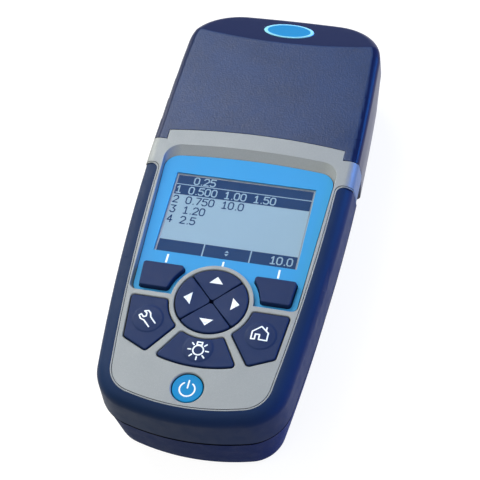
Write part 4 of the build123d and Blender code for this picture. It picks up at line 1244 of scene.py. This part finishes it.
@dataclass
class KeyMarks:
    """White signs on the keys."""

    frame: dict
    printer: Printer
    arrow_base: float = 9.0 * MM
    arrow_tip: float = 12.4 * MM
    arrow_half: float = 3.05 * MM
    line: float = 0.65 * MM
    power_radius: float = 3.25 * MM
    power_gap: float = 34.0
    power_bar: Point = (0.6 * MM, 4.1 * MM)
    power_drop: float = 0.5 * MM
    lamp_radius: float = 2.25 * MM
    lamp_offset: Point = (0.3 * MM, -0.2 * MM)
    ray_ends: Point = (3.25 * MM, 4.45 * MM)

    def build(self) -> None:
        """Prints the sign of every key."""
        centre = middle(*ARROWS)
        for name, turn in ARROWS.items():
            self.put(name, self.arrow().turned(turn).moved(centre.x, centre.y))
        power, lamp = middle("power_key"), middle("lamp_key")
        aside, up = self.lamp_offset
        self.put("power_key", self.power().moved(power.x, power.y - self.power_drop))
        self.put("lamp_key", self.lamp().moved(aside, lamp.y + up))
        self.put("settings_key", self.spanner())
        self.put("home_key", self.house())

    def put(self, key: str, shape: Outline) -> None:
        """Prints a sign on its key, whose node and body have the same name."""
        self.printer.mark(key + "_sign", shape, self.frame["nodes"][key], key)

    def arrow(self) -> Outline:
        """Triangle that points up, measured from the middle of the arrow keys."""
        half, base = self.arrow_half, self.arrow_base
        return Outline().fill([(-half, base), (half, base), (0.0, self.arrow_tip)])

    def power(self) -> Outline:
        """Open ring with a short bar in its gap."""
        ring = arc((0, 0), self.power_radius, 90 + self.power_gap, 450 - self.power_gap, 40)
        return Outline().stroke(ring, self.line).stroke([(0, y) for y in self.power_bar], self.line)

    def lamp(self) -> Outline:
        """Round lamp with seven rays and a small cap.

        Returns:
            The outline.
        """
        shape = Outline().stroke(arc((0, 0), self.lamp_radius, 0, 350, 36), self.line, closed=True)
        for index in range(1, 8):
            angle = math.radians(90 + 45 * index)
            shape.stroke([(reach * math.cos(angle), reach * math.sin(angle))
                          for reach in self.ray_ends], self.line)
        return shape.stroke(in_mm(*bar(-1.1, 2.5, 1.1, 3.9)), self.line, closed=True)

    def spanner(self) -> Outline:
        """Outlined spanner with its jaw at the upper left.

        Returns:
            The outline.
        """
        jaw = in_mm((-29.0, -70.2), (-28.2, -69.5), (-26.9, -70.8), (-25.8, -70.3), (-25.9, -68.8),
                    (-27.1, -67.9), (-25.5, -67.4), (-24.4, -68.4), (-23.7, -70.5), (-21.2, -73.0))
        back = in_mm((-29.0, -70.2), (-28.0, -71.8), (-26.3, -72.4), (-23.5, -75.2))
        return Outline().stroke(jaw, self.line).stroke(back, self.line)

    def house(self) -> Outline:
        """Outlined house with a door and a chimney.

        Returns:
            The outline.
        """
        walls = in_mm((22.4, -70.9), (24.2, -70.9), (24.2, -73.3), (27.7, -73.3), (27.7, -69.7),
                      (24.3, -66.8), (20.8, -69.7), (20.8, -73.3), (22.4, -73.3))
        shape = Outline().stroke(walls, self.line, closed=True)
        return shape.stroke(in_mm((26.6, -68.6), (26.6, -67.0)), self.line)


@dataclass
class Softbox:
    """One rectangular studio light."""

    name: str
    toward: Place
    distance: float
    size: Point
    power: float
    colour: Colour = WHITE

    def build(self) -> None:
        """Hangs the light so that it faces the object."""
        data = bpy.data.lights.new(self.name, "AREA")
        data.shape = "RECTANGLE"
        data.size, data.size_y = self.size
        data.energy = self.power
        data.color = self.colour
        light = hang(self.name, data)
        direction = Vector(self.toward).normalized()
        light.location = direction * self.distance
        light.rotation_mode = "QUATERNION"
        light.rotation_quaternion = direction.to_track_quat("Z", "Y")


@dataclass
class Studio:
    """Floor, world, lights and camera."""

    floor_half: float = 8.0
    floor_look: StudioFloor = StudioFloor("floor_white", (0.18, 0.17, 0.15))
    room: tuple[tuple[float, Colour], ...] = ((0.2, (0.02, 0.03, 0.06)), (0.9, (0.50, 0.52, 0.55)))
    eye: Place = (128.81 * MM, -354.72 * MM, 555.51 * MM)
    right: Place = (0.97026, 0.22434, -0.09091)
    up: Place = (-0.13575, 0.81525, 0.56297)
    back: Place = (0.20041, -0.53388, 0.82146)
    lens: float = 105.0
    sensor: float = 36.0
    lights: tuple[Softbox, ...] = (
        Softbox("top_light", (-0.34, 0.48, 0.81), 1.3, (0.5, 0.5), 8.5),
        Softbox("key_light", (-0.80, -0.30, 0.75), 1.4, (0.7, 0.7), 2.5, (1.0, 0.98, 0.95)),
        Softbox("front_fill", (-0.22, -0.50, 0.84), 1.4, (0.6, 0.6), 3.5, (1.0, 0.99, 0.96)),
        Softbox("left_strip", (-0.74, 0.50, 0.42), 1.0, (0.2, 0.8), 6.0),
        Softbox("cool_rim", (0.74, 0.62, 0.25), 0.9, (0.2, 0.5), 8.0, (0.02, 0.25, 1.0)),
        Softbox("cool_side", (1.0, -0.25, 0.10), 0.9, (0.5, 0.16), 4.5, (0.01, 0.18, 1.0)),
    )

    def build(self) -> None:
        """Sets up the whole studio."""
        self.floor()
        self.world()
        for light in self.lights:
            light.build()
        self.camera()
        bpy.context.scene.view_settings.view_transform = "Standard"
        LOG.info("studio ready")

    def floor(self) -> None:
        """Lays the pale floor."""
        made, half = bmesh.new(), self.floor_half
        made.faces.new([made.verts.new((x, y, 0.0)) for x, y in bar(-half, -half, half, half)])
        floor = place_mesh("floor", made)
        dress(floor, self.floor_look)

    def world(self) -> None:
        """Fills the room with a light that grows towards the ceiling, before a white backdrop."""
        wiring = Wiring(bpy.data.worlds.new("studio_world"), "World")
        height = wiring.split(wiring.add("TexCoord").outputs["Generated"], "Z")
        ramp = wiring.add("ValToRGB", {"Fac": height})
        for stop, (position, colour) in zip(ramp.color_ramp.elements, self.room):
            stop.position, stop.color = position, (*colour, 1.0)
        soft = wiring.add("Background", {"Color": ramp.outputs["Color"]}).outputs[0]
        white = wiring.add("Background", {"Color": WHITE}).outputs[0]
        mix = wiring.add("MixShader", {"Fac": wiring.seen(), 1: soft, 2: white})
        bpy.context.scene.world = wiring.finish(mix)

    def camera(self) -> None:
        """Sets the camera of the main view."""
        data = bpy.data.cameras.new("camera")
        data.lens = self.lens
        data.sensor_width = self.sensor
        data.sensor_fit = "HORIZONTAL"
        data.clip_start, data.clip_end = 0.02, 20.0
        camera = hang("camera", data)
        turn = Matrix((self.right, self.up, self.back)).transposed().to_4x4()
        camera.matrix_world = Matrix.Translation(self.eye) @ turn
        bpy.context.scene.camera = camera


def main() -> None:
    """Builds and dresses the whole object."""
    logging.basicConfig(level=logging.INFO, format="%(message)s")
    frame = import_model()
    printer = Printer()
    Housing(frame).build()
    Display(printer).build()
    PanelMarks(frame, printer).build()
    KeyMarks(frame, printer).build()
    Studio().build()


if __name__ == "__main__":
    main()
